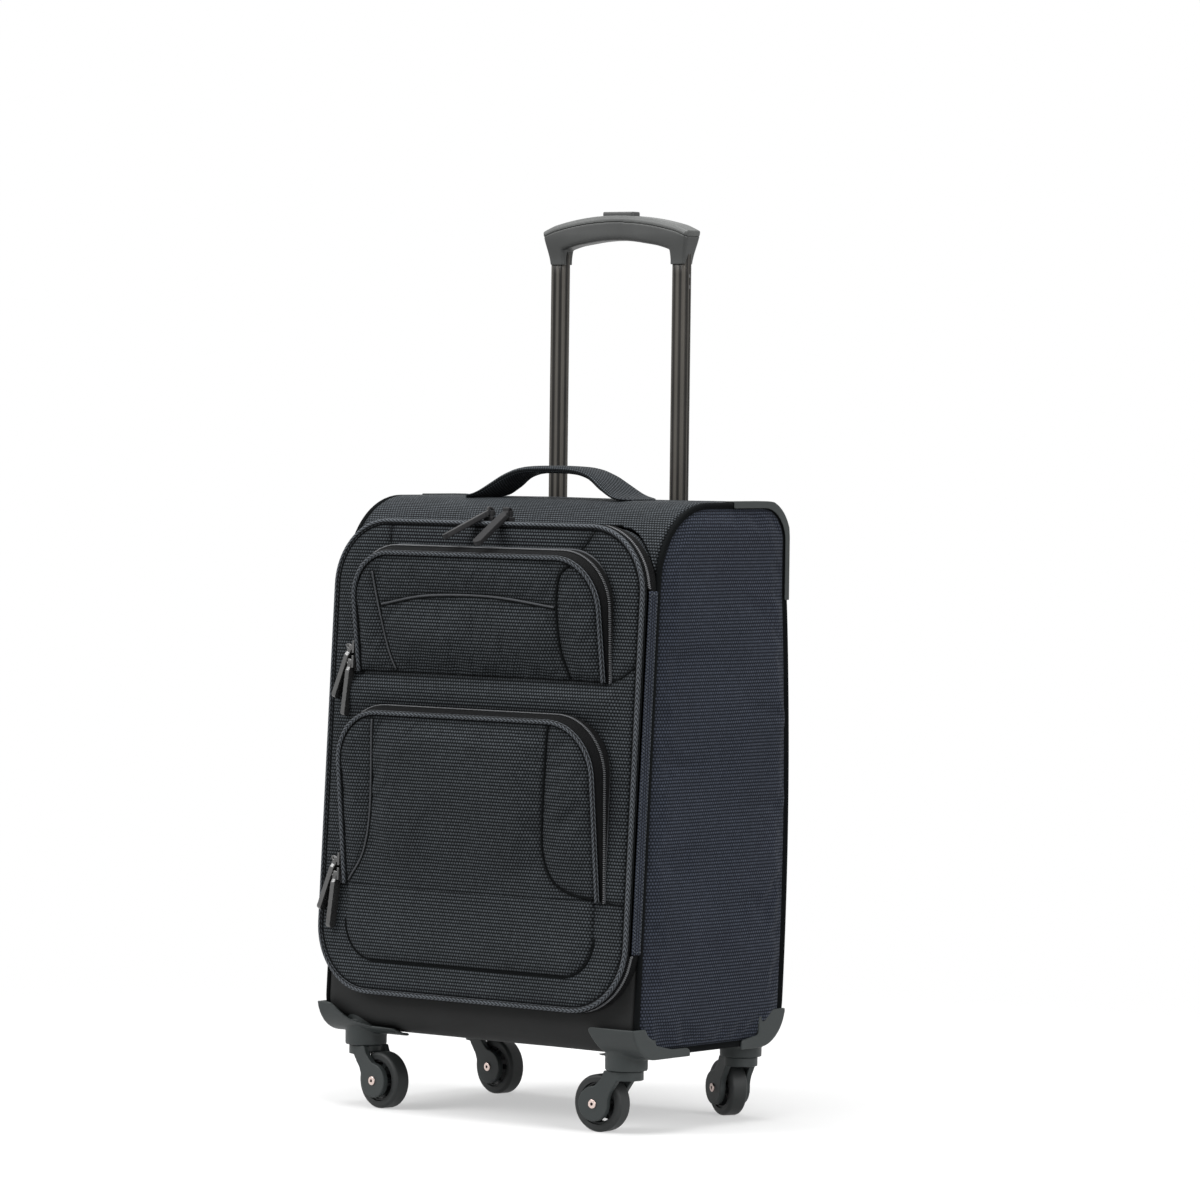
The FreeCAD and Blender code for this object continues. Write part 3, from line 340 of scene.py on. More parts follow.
def smooth_line(points, spacing=0.002):
    """Curve through a few points of a plane, as evenly spaced points."""
    steps = 12
    points = [Vector(point) for point in points]
    ends = [2 * points[0] - points[1], *points, 2 * points[-1] - points[-2]]
    line = []
    for a, b, c, d in zip(ends, ends[1:], ends[2:], ends[3:]):
        for k in range(steps):
            t = k / steps
            line.append(0.5 * (2 * b + (c - a) * t + (2 * a - 5 * b + 4 * c - d) * t * t
                               + (3 * b - a - 3 * c + d) * t ** 3))
    line.append(points[-1])
    return even_points(np.array([tuple(point) for point in line]), spacing)


def distance_to(lines, points):
    """Shortest distance from each point to any of the lines."""
    nearest = np.full(len(points), FAR_AWAY)
    for line in lines:
        start, step = line[:-1], np.diff(line, axis=0)
        offset = points[:, None] - start[None]
        share = (offset * step).sum(2) / np.maximum((step * step).sum(1), 1e-12)
        gap = offset - np.clip(share, 0, 1)[..., None] * step
        nearest = np.minimum(nearest, np.sqrt((gap * gap).sum(2)).min(1))
    return nearest


def rise(distance, roll):
    """Rounded step from 0 to 1 over the distance roll."""
    share = np.clip(distance / roll, 0, 1)
    return np.sqrt(1 - (1 - share) ** 2)


def soft_waves(points, size, seed):
    """Slow uneven waves from -1 to 1, the same on every run."""
    chance = np.random.default_rng(seed)
    total, count = np.zeros(len(points)), 7
    for _ in range(count):
        angle, phase = chance.uniform(0, 2 * math.pi, 2)
        reach = size * chance.uniform(0.6, 1.6)
        way = points[:, 0] * math.cos(angle) + points[:, 1] * math.sin(angle)
        total += np.sin(way * 2 * math.pi / reach + phase)
    return total / count


def panel_grid(outline, cell):
    """Rows of points that fill an outline from edge to edge, lowest row first."""
    least_step, least_last, margin = cell * 0.45, cell * 0.3, 1e-6
    low, high = outline[:, 1].min(), outline[:, 1].max()
    heights = [low]
    level = np.linspace(low, high, round((high - low) / cell) + 1)
    for height in np.sort(np.concatenate([outline[:, 1], level])):
        if height - heights[-1] > least_step and high - height > least_last:
            heights.append(height)
    heights.append(high)
    columns = round((outline[:, 0].max() - outline[:, 0].min()) / cell)
    following = np.roll(outline, -1, axis=0)
    rows = []
    for height in np.clip(heights, low + margin, high - margin):
        crossing = (outline[:, 1] > height) != (following[:, 1] > height)
        start, end = outline[crossing], following[crossing]
        share = (height - start[:, 1]) / (end[:, 1] - start[:, 1])
        places = start[:, 0] + share * (end[:, 0] - start[:, 0])
        across = np.linspace(places.min(), places.max(), columns + 1)
        rows.append(np.stack([across, np.full_like(across, height)], 1))
    return np.array(rows)


def panel_piece(name, plane, outline, cell, relief):
    """Fabric panel on a plane; relief gives how far out each point stands and how much painted shade it gets."""
    flat = panel_grid(outline, cell)
    places = flat.reshape(-1, 2)
    height, painted_shade = relief(places)
    points = plane.at(places[:, 0], places[:, 1], height).reshape(*flat.shape[:2], 3)
    piece = grid_piece(name, points, flat)
    set_painted_shade(piece, np.clip(painted_shade, 0, 1))
    return piece


def inflate(piece, sewn, pressure, cap):
    """Puff a panel up between its seams with a short cloth simulation."""
    frames = 20
    start = points_of(piece)
    group = piece.vertex_groups.new(name="sewn")
    group.add([int(index) for index in np.flatnonzero(sewn)], 1.0, "REPLACE")
    cloth = piece.modifiers.new("puff", "CLOTH")
    cloth.settings.quality = 4
    cloth.settings.mass = 0.3
    cloth.settings.tension_stiffness = cloth.settings.compression_stiffness = 12
    cloth.settings.bending_stiffness = 0.6
    cloth.settings.use_pressure = True
    cloth.settings.uniform_pressure_force = pressure
    cloth.settings.vertex_group_mass = group.name
    cloth.settings.shrink_min = -0.012
    cloth.settings.effector_weights.gravity = 0
    cloth.point_cache.frame_start, cloth.point_cache.frame_end = 1, frames
    for number in range(1, frames + 1):
        bpy.context.scene.frame_set(number)
    end = points_of(piece.evaluated_get(bpy.context.evaluated_depsgraph_get()))
    piece.modifiers.remove(cloth)
    piece.vertex_groups.remove(group)
    bpy.context.scene.frame_set(1)
    move = end - start
    size = np.linalg.norm(move, axis=1, keepdims=True)
    move *= np.minimum(1, cap / np.maximum(size, 1e-9))
    move_points(piece, start + move)
    return piece


def sweep(name, path, section, facing, closed=False):
    """Section of (side, out) points carried along a path; facing is the out direction at each point."""
    path, facing = np.array(path, float), np.array(facing, float)
    facing = np.broadcast_to(facing, path.shape)
    if closed:
        tangent = np.roll(path, -1, axis=0) - np.roll(path, 1, axis=0)
    else:
        tangent = np.gradient(path, axis=0)
    tangent /= np.linalg.norm(tangent, axis=1, keepdims=True)
    out = facing - (facing * tangent).sum(1, keepdims=True) * tangent
    out /= np.linalg.norm(out, axis=1, keepdims=True)
    side = np.cross(tangent, out)
    section = np.array(section, float)
    if section.ndim == 2:
        section = np.broadcast_to(section, (len(path), *section.shape))
    points = path[:, None] + section[..., :1] * side[:, None] + section[..., 1:] * out[:, None]
    along = lengths_along(closed_line(path) if closed else path)
    around = lengths_along(closed_line(section[0]))
    texture = np.stack(np.meshgrid(along, around, indexing="ij"), 2)
    return grid_piece(name, points, texture, closed, True, not closed, True)


def signed_power(values, power):
    """Power of each value with its sign kept, for the flattened sides of a rounded section."""
    return np.sign(values) * np.abs(values) ** power


def ring_section(radius, count=12):
    """Round section."""
    turns = [2 * math.pi * k / count for k in range(count)]
    return [(radius * math.cos(turn), radius * math.sin(turn)) for turn in turns]


def plate_section(width, thickness):
    """Flat strip with rounded edges."""
    count = 3
    half, radius = width / 2 - thickness / 2, thickness / 2
    right = [(half + radius * math.sin(math.pi * k / count), -radius * math.cos(math.pi * k / count))
             for k in range(count + 1)]
    return right + [(-side, -out) for side, out in right]


def lid_ring(inset, depth):
    """Evenly spaced points round the lid's outline, at a depth."""
    line = even_points(lid_outline(inset), LINE_STEP, closed=True)
    return LID.at(line[:, 0], line[:, 1], depth)


def lid_middle(depth):
    """Middle of the lid's outline, at a depth."""
    return LID.at(0.0, (LID_LOW + LID_HIGH) / 2, depth)


def moulded(name, node, voxel, rounds=3):
    """Copy of a CAD node with its edges rounded, as a moulding has them."""
    mesh = frame["nodes"][node].data.copy()
    mesh.name = name
    mesh.materials.clear()
    work = bmesh.new()
    work.from_mesh(mesh)
    bmesh.ops.remove_doubles(work, verts=work.verts, dist=1e-6)
    work.to_mesh(mesh)
    work.free()
    piece = link(bpy.data.objects.new(name, mesh))
    remesh = piece.modifiers.new("voxels", "REMESH")
    remesh.mode, remesh.voxel_size = "VOXEL", voxel
    soften = piece.modifiers.new("soften", "SMOOTH")
    soften.factor, soften.iterations = 0.5, rounds
    settle(piece)
    piece.data.shade_smooth()
    return piece


# ---- repeated details, by Geometry Nodes ------------------------------------------------
def repeat_tree():
    """Tree that sets small beads along a path, turned to face its facing attribute."""
    tree = bpy.data.node_groups.new("beads_on_path", "GeometryNodeTree")
    socket = tree.interface.new_socket
    socket("Geometry", in_out="INPUT", socket_type="NodeSocketGeometry")
    socket("Pitch", in_out="INPUT", socket_type="NodeSocketFloat")
    socket("Shift", in_out="INPUT", socket_type="NodeSocketFloat")
    socket("Size", in_out="INPUT", socket_type="NodeSocketVector")
    socket("Finish", in_out="INPUT", socket_type="NodeSocketMaterial")
    socket("Geometry", in_out="OUTPUT", socket_type="NodeSocketGeometry")
    nodes = tree.nodes
    given, result = nodes.new("NodeGroupInput"), nodes.new("NodeGroupOutput")
    curve = nodes.new("GeometryNodeMeshToCurve")
    even = nodes.new("GeometryNodeResampleCurve")
    even.mode = "LENGTH"
    tangent = nodes.new("GeometryNodeInputTangent")
    shift = nodes.new("ShaderNodeVectorMath")
    shift.operation = "SCALE"
    place = nodes.new("GeometryNodeSetPosition")
    facing = nodes.new("GeometryNodeInputNamedAttribute")
    facing.data_type = "FLOAT_VECTOR"
    facing.inputs["Name"].default_value = "facing"
    turn = nodes.new("FunctionNodeAxesToRotation")
    turn.primary_axis, turn.secondary_axis = "Z", "X"
    bead = nodes.new("GeometryNodeMeshUVSphere")
    bead.inputs["Segments"].default_value, bead.inputs["Rings"].default_value = 6, 4
    bead.inputs["Radius"].default_value = 0.5
    smooth = nodes.new("GeometryNodeSetShadeSmooth")
    instances = nodes.new("GeometryNodeInstanceOnPoints")
    real = nodes.new("GeometryNodeRealizeInstances")
    finish = nodes.new("GeometryNodeSetMaterial")
    for source, output, target, entry in (
            (given, "Geometry", curve, "Mesh"),
            (curve, "Curve", even, "Curve"),
            (given, "Pitch", even, "Length"),
            (even, "Curve", place, "Geometry"),
            (tangent, "Tangent", shift, "Vector"),
            (given, "Shift", shift, "Scale"),
            (shift, "Vector", place, "Offset"),
            (place, "Geometry", instances, "Points"),
            (bead, "Mesh", smooth, "Geometry"),
            (smooth, "Geometry", instances, "Instance"),
            (facing, "Attribute", turn, "Primary Axis"),
            (tangent, "Tangent", turn, "Secondary Axis"),
            (turn, "Rotation", instances, "Rotation"),
            (given, "Size", instances, "Scale"),
            (instances, "Instances", real, "Geometry"),
            (real, "Geometry", finish, "Geometry"),
            (given, "Finish", finish, "Material"),
            (finish, "Geometry", result, "Geometry")):
        tree.links.new(source.outputs[output], target.inputs[entry])
    return tree


def beads(name, path, facing, pitch, size, finish, shift=0.0):
    """Row of small beads along a path, as a plain mesh."""
    tree = bpy.data.node_groups.get("beads_on_path") or repeat_tree()
    count = len(path)
    mesh = bpy.data.meshes.new(name)
    mesh.from_pydata([tuple(point) for point in path], [(k, k + 1) for k in range(count - 1)], [])
    attribute = mesh.attributes.new("facing", "FLOAT_VECTOR", "POINT")
    directions = np.broadcast_to(np.array(facing, float), (count, 3))
    attribute.data.foreach_set("vector", np.ascontiguousarray(directions).astype(np.float32).ravel())
    piece = link(bpy.data.objects.new(name, mesh))
    modifier = piece.modifiers.new("beads", "NODES")
    modifier.node_group = tree
    values = {"Pitch": pitch, "Shift": shift, "Size": size, "Finish": finish}
    for item in tree.interface.items_tree:
        if item.item_type == "SOCKET" and item.in_out == "INPUT" and item.name in values:
            modifier[item.identifier] = values[item.name]
    return settle(piece)


# ---- shader node groups -------------------------------------------------------------------
class Nodes:
    """Short way to lay nodes in a tree."""

    def __init__(self, tree):
        self.tree = tree

    def add(self, kind, inputs=(), **settings):
        node = self.tree.nodes.new(kind)
        for key, value in settings.items():
            setattr(node, key, value)
        for key, value in dict(inputs).items():
            if isinstance(value, bpy.types.NodeSocket):
                self.tree.links.new(value, node.inputs[key])
            else:
                node.inputs[key].default_value = value
        return node

    def link(self, source, node, key):
        self.tree.links.new(source, node.inputs[key])

    def math(self, operation, a, b=0.0, c=0.0):
        node = self.add("ShaderNodeMath", {0: a, 1: b, 2: c}, operation=operation)
        return node.outputs[0]

    def mix(self, factor, a, b):
        node = self.add("ShaderNodeMix", {0: factor, 6: a, 7: b}, data_type="RGBA")
        return node.outputs[2]

    def mottled(self, patch, grain):
        own = self.add("ShaderNodeTexCoord").outputs["Object"]
        return use_group(self, "mottle", {"Place": own, "Patch": patch, "Grain": grain}).outputs

    def bump(self, height, strength, distance, shader):
        node = self.add("ShaderNodeBump", {"Height": height, "Strength": strength, "Distance": distance})
        self.link(node.outputs[0], shader, "Normal")


def shader_group(name, inputs, outputs):
    """Empty shader node group with its sockets."""
    tree = bpy.data.node_groups.new(name, "ShaderNodeTree")
    kinds = {"v": "NodeSocketVector", "f": "NodeSocketFloat", "c": "NodeSocketColor"}
    for socket_name, kind in inputs:
        tree.interface.new_socket(socket_name, in_out="INPUT", socket_type=kinds[kind])
    for socket_name, kind in outputs:
        tree.interface.new_socket(socket_name, in_out="OUTPUT", socket_type=kinds[kind])
    build = Nodes(tree)
    return build, build.add("NodeGroupInput"), build.add("NodeGroupOutput")


def weave_group():
    """Rows of small rounded cells, each row set half a cell along."""
    build, given, result = shader_group("woven_cells", [("Place", "v"), ("Across", "f"), ("Along", "f")],
                                        [("Height", "f"), ("Chance", "f")])
    height_over_width, fall = 1.3, 3.4
    place = build.add("ShaderNodeSeparateXYZ", {0: given.outputs["Place"]})
    u = build.math("DIVIDE", place.outputs[0], given.outputs["Across"])
    v = build.math("DIVIDE", place.outputs[1], given.outputs["Along"])
    row = build.math("FLOOR", v)
    odd = build.math("FLOORED_MODULO", row, 2.0)
    u = build.math("MULTIPLY_ADD", odd, 0.5, u)
    side = build.math("SUBTRACT", build.math("FRACT", u), 0.5)
    lift = build.math("SUBTRACT", build.math("FRACT", v), 0.5)
    side = build.math("MULTIPLY", side, side)
    lift = build.math("MULTIPLY", build.math("MULTIPLY", lift, lift), height_over_width)
    height = build.math("SUBTRACT", 1.0, build.math("MULTIPLY", build.math("ADD", side, lift), fall))
    height = build.math("MAXIMUM", height, 0.0)
    cell = build.add("ShaderNodeCombineXYZ", {0: build.math("FLOOR", u), 1: row})
    chance = build.add("ShaderNodeTexWhiteNoise", {"Vector": cell.outputs[0]}, noise_dimensions="2D")
    build.link(height, result, "Height")
    build.link(chance.outputs["Value"], result, "Chance")
    return build.tree


def braid_group():
    """Slanting strands that meet in a zigzag along a cord."""
    build, given, result = shader_group("twill_braid", [("Place", "v"), ("Pitch", "f"), ("Width", "f")],
                                        [("Height", "f")])
    slant, border, blend, sharpness = 2.4, 6.0, 0.3, 1.6
    place = build.add("ShaderNodeSeparateXYZ", {0: given.outputs["Place"]})
    along = build.math("DIVIDE", place.outputs[0], given.outputs["Pitch"])
    around = build.math("DIVIDE", place.outputs[1], given.outputs["Width"])
    fold = build.math("ABSOLUTE", build.math("SUBTRACT", build.math("FRACT", around), 0.5))
    strand = build.math("FRACT", build.math("MULTIPLY_ADD", fold, slant, along))
    swell = build.math("SINE", build.math("MULTIPLY", strand, math.pi))
    edge = build.math("MULTIPLY", build.math("SUBTRACT", 0.5, fold), border)
    edge = build.math("SMOOTH_MIN", edge, 1.0, blend)
    strands = build.math("POWER", build.math("MULTIPLY", swell, edge), sharpness)
    build.link(strands, result, "Height")
    return build.tree


def mottle_group():
    """Uneven tone and fine grain from the object's own coordinates."""
    build, given, result = shader_group("mottle", [("Place", "v"), ("Patch", "f"), ("Grain", "f")],
                                        [("Tone", "f"), ("Grain", "f")])
    place = given.outputs["Place"]
    patch = build.add("ShaderNodeTexNoise", {"Vector": place, "Scale": given.outputs["Patch"], "Detail": 3.0,
                                             "Roughness": 0.55})
    grain = build.add("ShaderNodeTexNoise", {"Vector": place, "Scale": given.outputs["Grain"], "Detail": 2.0})
    build.link(patch.outputs["Fac"], result, "Tone")
    build.link(grain.outputs["Fac"], result, "Grain")
    return build.tree


GROUP_MAKERS = {"woven_cells": weave_group, "twill_braid": braid_group, "mottle": mottle_group}


def new_material(name):
    """Material with a Principled BSDF; returns it, its node helper and the shader."""
    made = bpy.data.materials.new(name)
    made.use_nodes = True
    made.node_tree.nodes.clear()
    build = Nodes(made.node_tree)
    shader = build.add("ShaderNodeBsdfPrincipled")
    build.add("ShaderNodeOutputMaterial", {"Surface": shader.outputs[0]})
    return made, build, shader


def use_group(build, name, inputs):
    """Place a shared group in a material."""
    tree = bpy.data.node_groups.get(name) or GROUP_MAKERS[name]()
    return build.add("ShaderNodeGroup", inputs, node_tree=tree)


def shade(build, colour, factor):
    """Colour times a number that varies."""
    grey = build.add("ShaderNodeCombineColor", {0: factor, 1: factor, 2: factor})
    node = build.add("ShaderNodeMix", {0: 1.0, 6: colour, 7: grey.outputs[0]}, data_type="RGBA",
                     blend_type="MULTIPLY")
    return node.outputs[2]


def woven_material(name, thread, gap, across, along, depth, sheen=0.015):
    """Woven fabric: raised threads over darker gaps, with painted shade where it is sewn and creased."""
    made, build, shader = new_material(name)
    place = build.add("ShaderNodeUVMap", uv_map="weave").outputs[0]
    weave = use_group(build, "woven_cells", {"Place": place, "Across": across, "Along": along})
    mottle = build.mottled(14.0, 1400.0)
    painted_shade = build.add("ShaderNodeAttribute", attribute_name="painted_shade").outputs["Fac"]
    raised = build.math("POWER", weave.outputs["Height"], 1.5)
    lit = build.math("MULTIPLY", raised, build.math("MULTIPLY_ADD", weave.outputs["Chance"], 0.35, 0.78))
    colour = build.mix(lit, (*gap, 1), (*thread, 1))
    tone = build.math("MULTIPLY_ADD", mottle["Tone"], 0.5, 0.75)
    tone = build.math("MULTIPLY", tone, build.math("MULTIPLY_ADD", mottle["Grain"], 0.5, 0.75))
    # painted shade: darker where the points mark seams, edges and creases
    tone = build.math("MULTIPLY", tone, build.math("MULTIPLY_ADD", painted_shade, -0.75, 1.0))
    build.link(shade(build, colour, tone), shader, "Base Color")
    build.link(build.math("MULTIPLY_ADD", raised, -0.4, 0.85), shader, "Roughness")
    build.bump(raised, 1.0, depth, shader)
    shader.inputs["Sheen Weight"].default_value = sheen
    shader.inputs["Sheen Roughness"].default_value = 0.4
    shader.inputs["Specular IOR Level"].default_value = 0.07
    return made


def braid_material(name, thread, gap, pitch, width):
    """Cord covered in twill braid."""
    made, build, shader = new_material(name)
    place = build.add("ShaderNodeUVMap", uv_map="weave").outputs[0]
    braid = use_group(build, "twill_braid", {"Place": place, "Pitch": pitch, "Width": width})
    strands = braid.outputs["Height"]
    mottle = build.mottled(30.0, 1500.0)
    colour = build.mix(strands, (*gap, 1), (*thread, 1))
    tone = build.math("MULTIPLY_ADD", mottle["Tone"], 0.5, 0.75)
    build.link(shade(build, colour, tone), shader, "Base Color")
    build.bump(strands, 0.8, 0.0004, shader)
    build.link(build.math("MULTIPLY_ADD", strands, -0.2, 0.75), shader, "Roughness")
    shader.inputs["Sheen Weight"].default_value = 0.05
    shader.inputs["Specular IOR Level"].default_value = 0.07
    return made


def plain_material(name, colour, roughness, metallic=0.0, grain=900.0, depth=0.00005, spread=0.25, level=0.3):
    """Moulded, metal or smooth fabric finish with fine grain and uneven tone."""
    made, build, shader = new_material(name)
    mottle = build.mottled(25.0, grain)
    tone = build.math("MULTIPLY_ADD", mottle["Tone"], 2 * spread, 1 - spread)
    build.link(shade(build, (*colour, 1), tone), shader, "Base Color")
    build.link(build.math("MULTIPLY_ADD", mottle["Grain"], 0.2, roughness - 0.1), shader, "Roughness")
    build.bump(mottle["Grain"], 0.5, depth, shader)
    shader.inputs["Metallic"].default_value = metallic
    shader.inputs["Specular IOR Level"].default_value = level
    return made


def fluted_material(name, colour):
    """Dark drawn metal, with painted shade in its flutes."""
    made, build, shader = new_material(name)
    painted_flute_shade = build.add("ShaderNodeAttribute", attribute_name="painted_shade").outputs["Fac"]
    mottle = build.mottled(20.0, 600.0)
    # painted shade: darker in the flutes
    tone = build.math("MULTIPLY_ADD", painted_flute_shade, -0.85, build.math("MULTIPLY_ADD", mottle["Tone"], 0.3, 0.85))
    build.link(shade(build, (*colour, 1), tone), shader, "Base Color")
    shader.inputs["Metallic"].default_value = 0.1
    shader.inputs["Roughness"].default_value = 0.34
    shader.inputs["Specular IOR Level"].default_value = 0.2
    return made


def woven_finishes(fabric):
    """Thread, gap, width and height of a cell, depth of its bump, and its sheen where it differs."""
    pitch = fabric.pitch
    return {
        "front_weave": (fabric.thread, fabric.gap, pitch, pitch * 1.01, 0.0006),
        # the cloth's own colour with a bluer painted sheen, for faces turned to the side
        "side_sheen_weave": (fabric.side_sheen_thread, fabric.side_sheen_gap, pitch, pitch * 1.01, 0.0005, 0.03),
        "strap_weave": (fabric.thread, fabric.gap, pitch * 0.9, pitch * 0.5, 0.0005),
        "lining": (fabric.lining, fabric.gap, 0.0012, 0.0012, 0.0002),
        "zip_tape": (fabric.tape, (0.002, 0.002, 0.002), 0.0011, 0.0008, 0.0002),
    }


def plain_finishes(fabric, finish):
    """Colour, roughness, metallic, grain, bump depth, spread of tone and specular level."""
    return {
        "smooth_cloth": dict(colour=finish.smooth_cloth, roughness=0.7, grain=1600.0, depth=0.0002,
                             level=0.2),
        # lighter cloth over raised seams and gusset foot cords: painted highlight on the ridges
        "ridge_highlight_cloth": dict(colour=finish.ridge, roughness=0.6, grain=1800.0, depth=0.0002, level=0.2),
        # near-black cord: the side piping itself, and painted shade laid along seams, grooves and under ridges
        "dark_cord_and_painted_shade": dict(colour=fabric.gap, roughness=0.85, grain=1800.0, depth=0.0002, level=0.05),
        "thread": dict(colour=fabric.thread, roughness=0.6, level=0.4),
        "zip_coil": dict(colour=finish.coil, roughness=0.42, level=0.5),
        "moulding": dict(colour=finish.moulding, roughness=0.5, grain=1100.0, depth=0.00008, spread=0.12),
        "grip": dict(colour=finish.grip, roughness=0.42, grain=1400.0, depth=0.0001, spread=0.28),
        "grip_top": dict(colour=finish.grip_top, roughness=0.45, grain=1400.0, depth=0.00015, spread=0.35),
        "slider_metal": dict(colour=finish.slider, roughness=0.3, metallic=0.85, spread=0.15),
        "gunmetal": dict(colour=finish.gunmetal, roughness=0.42, spread=0.15, level=0.12),
        "steel": dict(colour=(0.5, 0.5, 0.52), roughness=0.3, metallic=1.0),
        "rivet": dict(colour=finish.rivet, roughness=0.22, metallic=1.0),
        "tyre": dict(colour=finish.tyre, roughness=0.55, grain=700.0, spread=0.2),
        "wheel": dict(colour=finish.wheel, roughness=0.45, spread=0.15),
    }


def material(name):
    """The named finish, made on first use."""
    title = "suitcase_" + name
    found = bpy.data.materials.get(title)
    if found:
        return found
    fabric = bpy.context.scene.suitcase_fabric
    finish = bpy.context.scene.suitcase_finish
    if name == "braid":
        dark, pitch, width = (0.003, 0.003, 0.003), 0.0044, 0.0052
        return braid_material(title, fabric.braid, dark, pitch, width)
    if name == "tube_metal":
        return fluted_material(title, finish.tube)
    woven = woven_finishes(fabric)
    if name in woven:
        return woven_material(title, *woven[name])
    return plain_material(title, **plain_finishes(fabric, finish)[name])


# ---- panel shapes -------------------------------------------------------------------------
def ridge(distance, width):
    """Bump that fades away from a line."""
    return np.exp(-(distance / width) ** 2)


def sewn_relief(outline, edge, roll, puff, seams=(), seed=1, wave=0.0004, open_base=False):
    """Relief of a padded panel: low at its edge and sunk along its seams."""
    border = [outline if open_base else closed_line(outline)]
    from_edge, from_seam, seam_hold = 0.018, 0.012, 0.75
    wave_size, wave_fade, seam_depth = 0.07, 0.02, 0.0010

    def relief(places):
        gap = distance_to(border, places)
        sewn = distance_to(seams, places)
        stuffed = puff * (1 - np.exp(-gap / from_edge)) * (1 - seam_hold * np.exp(-sewn / from_seam))
        height = edge - edge * rise(gap, roll) + stuffed
        height = height + soft_waves(places, wave_size, seed) * wave * np.clip(gap / wave_fade, 0, 1)
        # painted shade: darker along the panel's edge and along its seams
        painted_shade = 0.7 * ridge(gap, 0.0026) + 0.75 * ridge(sewn, 0.0020) + 0.25 * ridge(sewn, 0.006)
        return height - seam_depth * ridge(sewn, 0.003), painted_shade
    return relief


def seam_cord(name, plane, line, relief, radius, lift, body, finish):
    """Thin cord along a seam of a panel."""
    height, _ = relief(line)
    cord = sweep(name, plane.at(line[:, 0], line[:, 1], height + lift), ring_section(radius, 8), plane.out)
    return finish_piece(cord, body, [material(finish)])


# ---- seams of the lid and the pockets, given as (x, height on the lid)
LID_SEAMS = [smooth_line(line) for line in (
    [(0.120, 0.5195), (0.109, 0.505), (0.098, 0.4985)],
    [(-0.112, 0.5195), (-0.112, 0.500)],
    [(0.137, 0.3885), (0.155, 0.3925), (0.1712, 0.404)],
    [(-0.137, 0.3885), (-0.150, 0.391), (-0.158, 0.396)],
    [(0.1465, 0.2015), (0.160, 0.1995), (0.1712, 0.199)],
    [(-0.1465, 0.2015), (-0.162, 0.203)])]
UPPER_ARC = smooth_line([(-0.106, 0.449), (-0.052, 0.458), (0.022, 0.459), (0.091, 0.452)])
UPPER_LEFT = smooth_line([(-0.1145, 0.478), (-0.110, 0.449), (-0.102, 0.410), (-0.095, 0.391)])
UPPER_RIGHT = smooth_line([(0.112, 0.4905), (0.098, 0.478), (0.093, 0.449), (0.095, 0.415), (0.103, 0.3905)])
LOWER_LEFT = smooth_line([(-0.102, 0.348), (-0.108, 0.275), (-0.1185, 0.231), (-0.139, 0.203)])
LOWER_RIGHT = smooth_line([(0.098, 0.351), (0.0895, 0.285), (0.0865, 0.242), (0.096, 0.217),
                           (0.114, 0.2065), (0.139, 0.2020)])


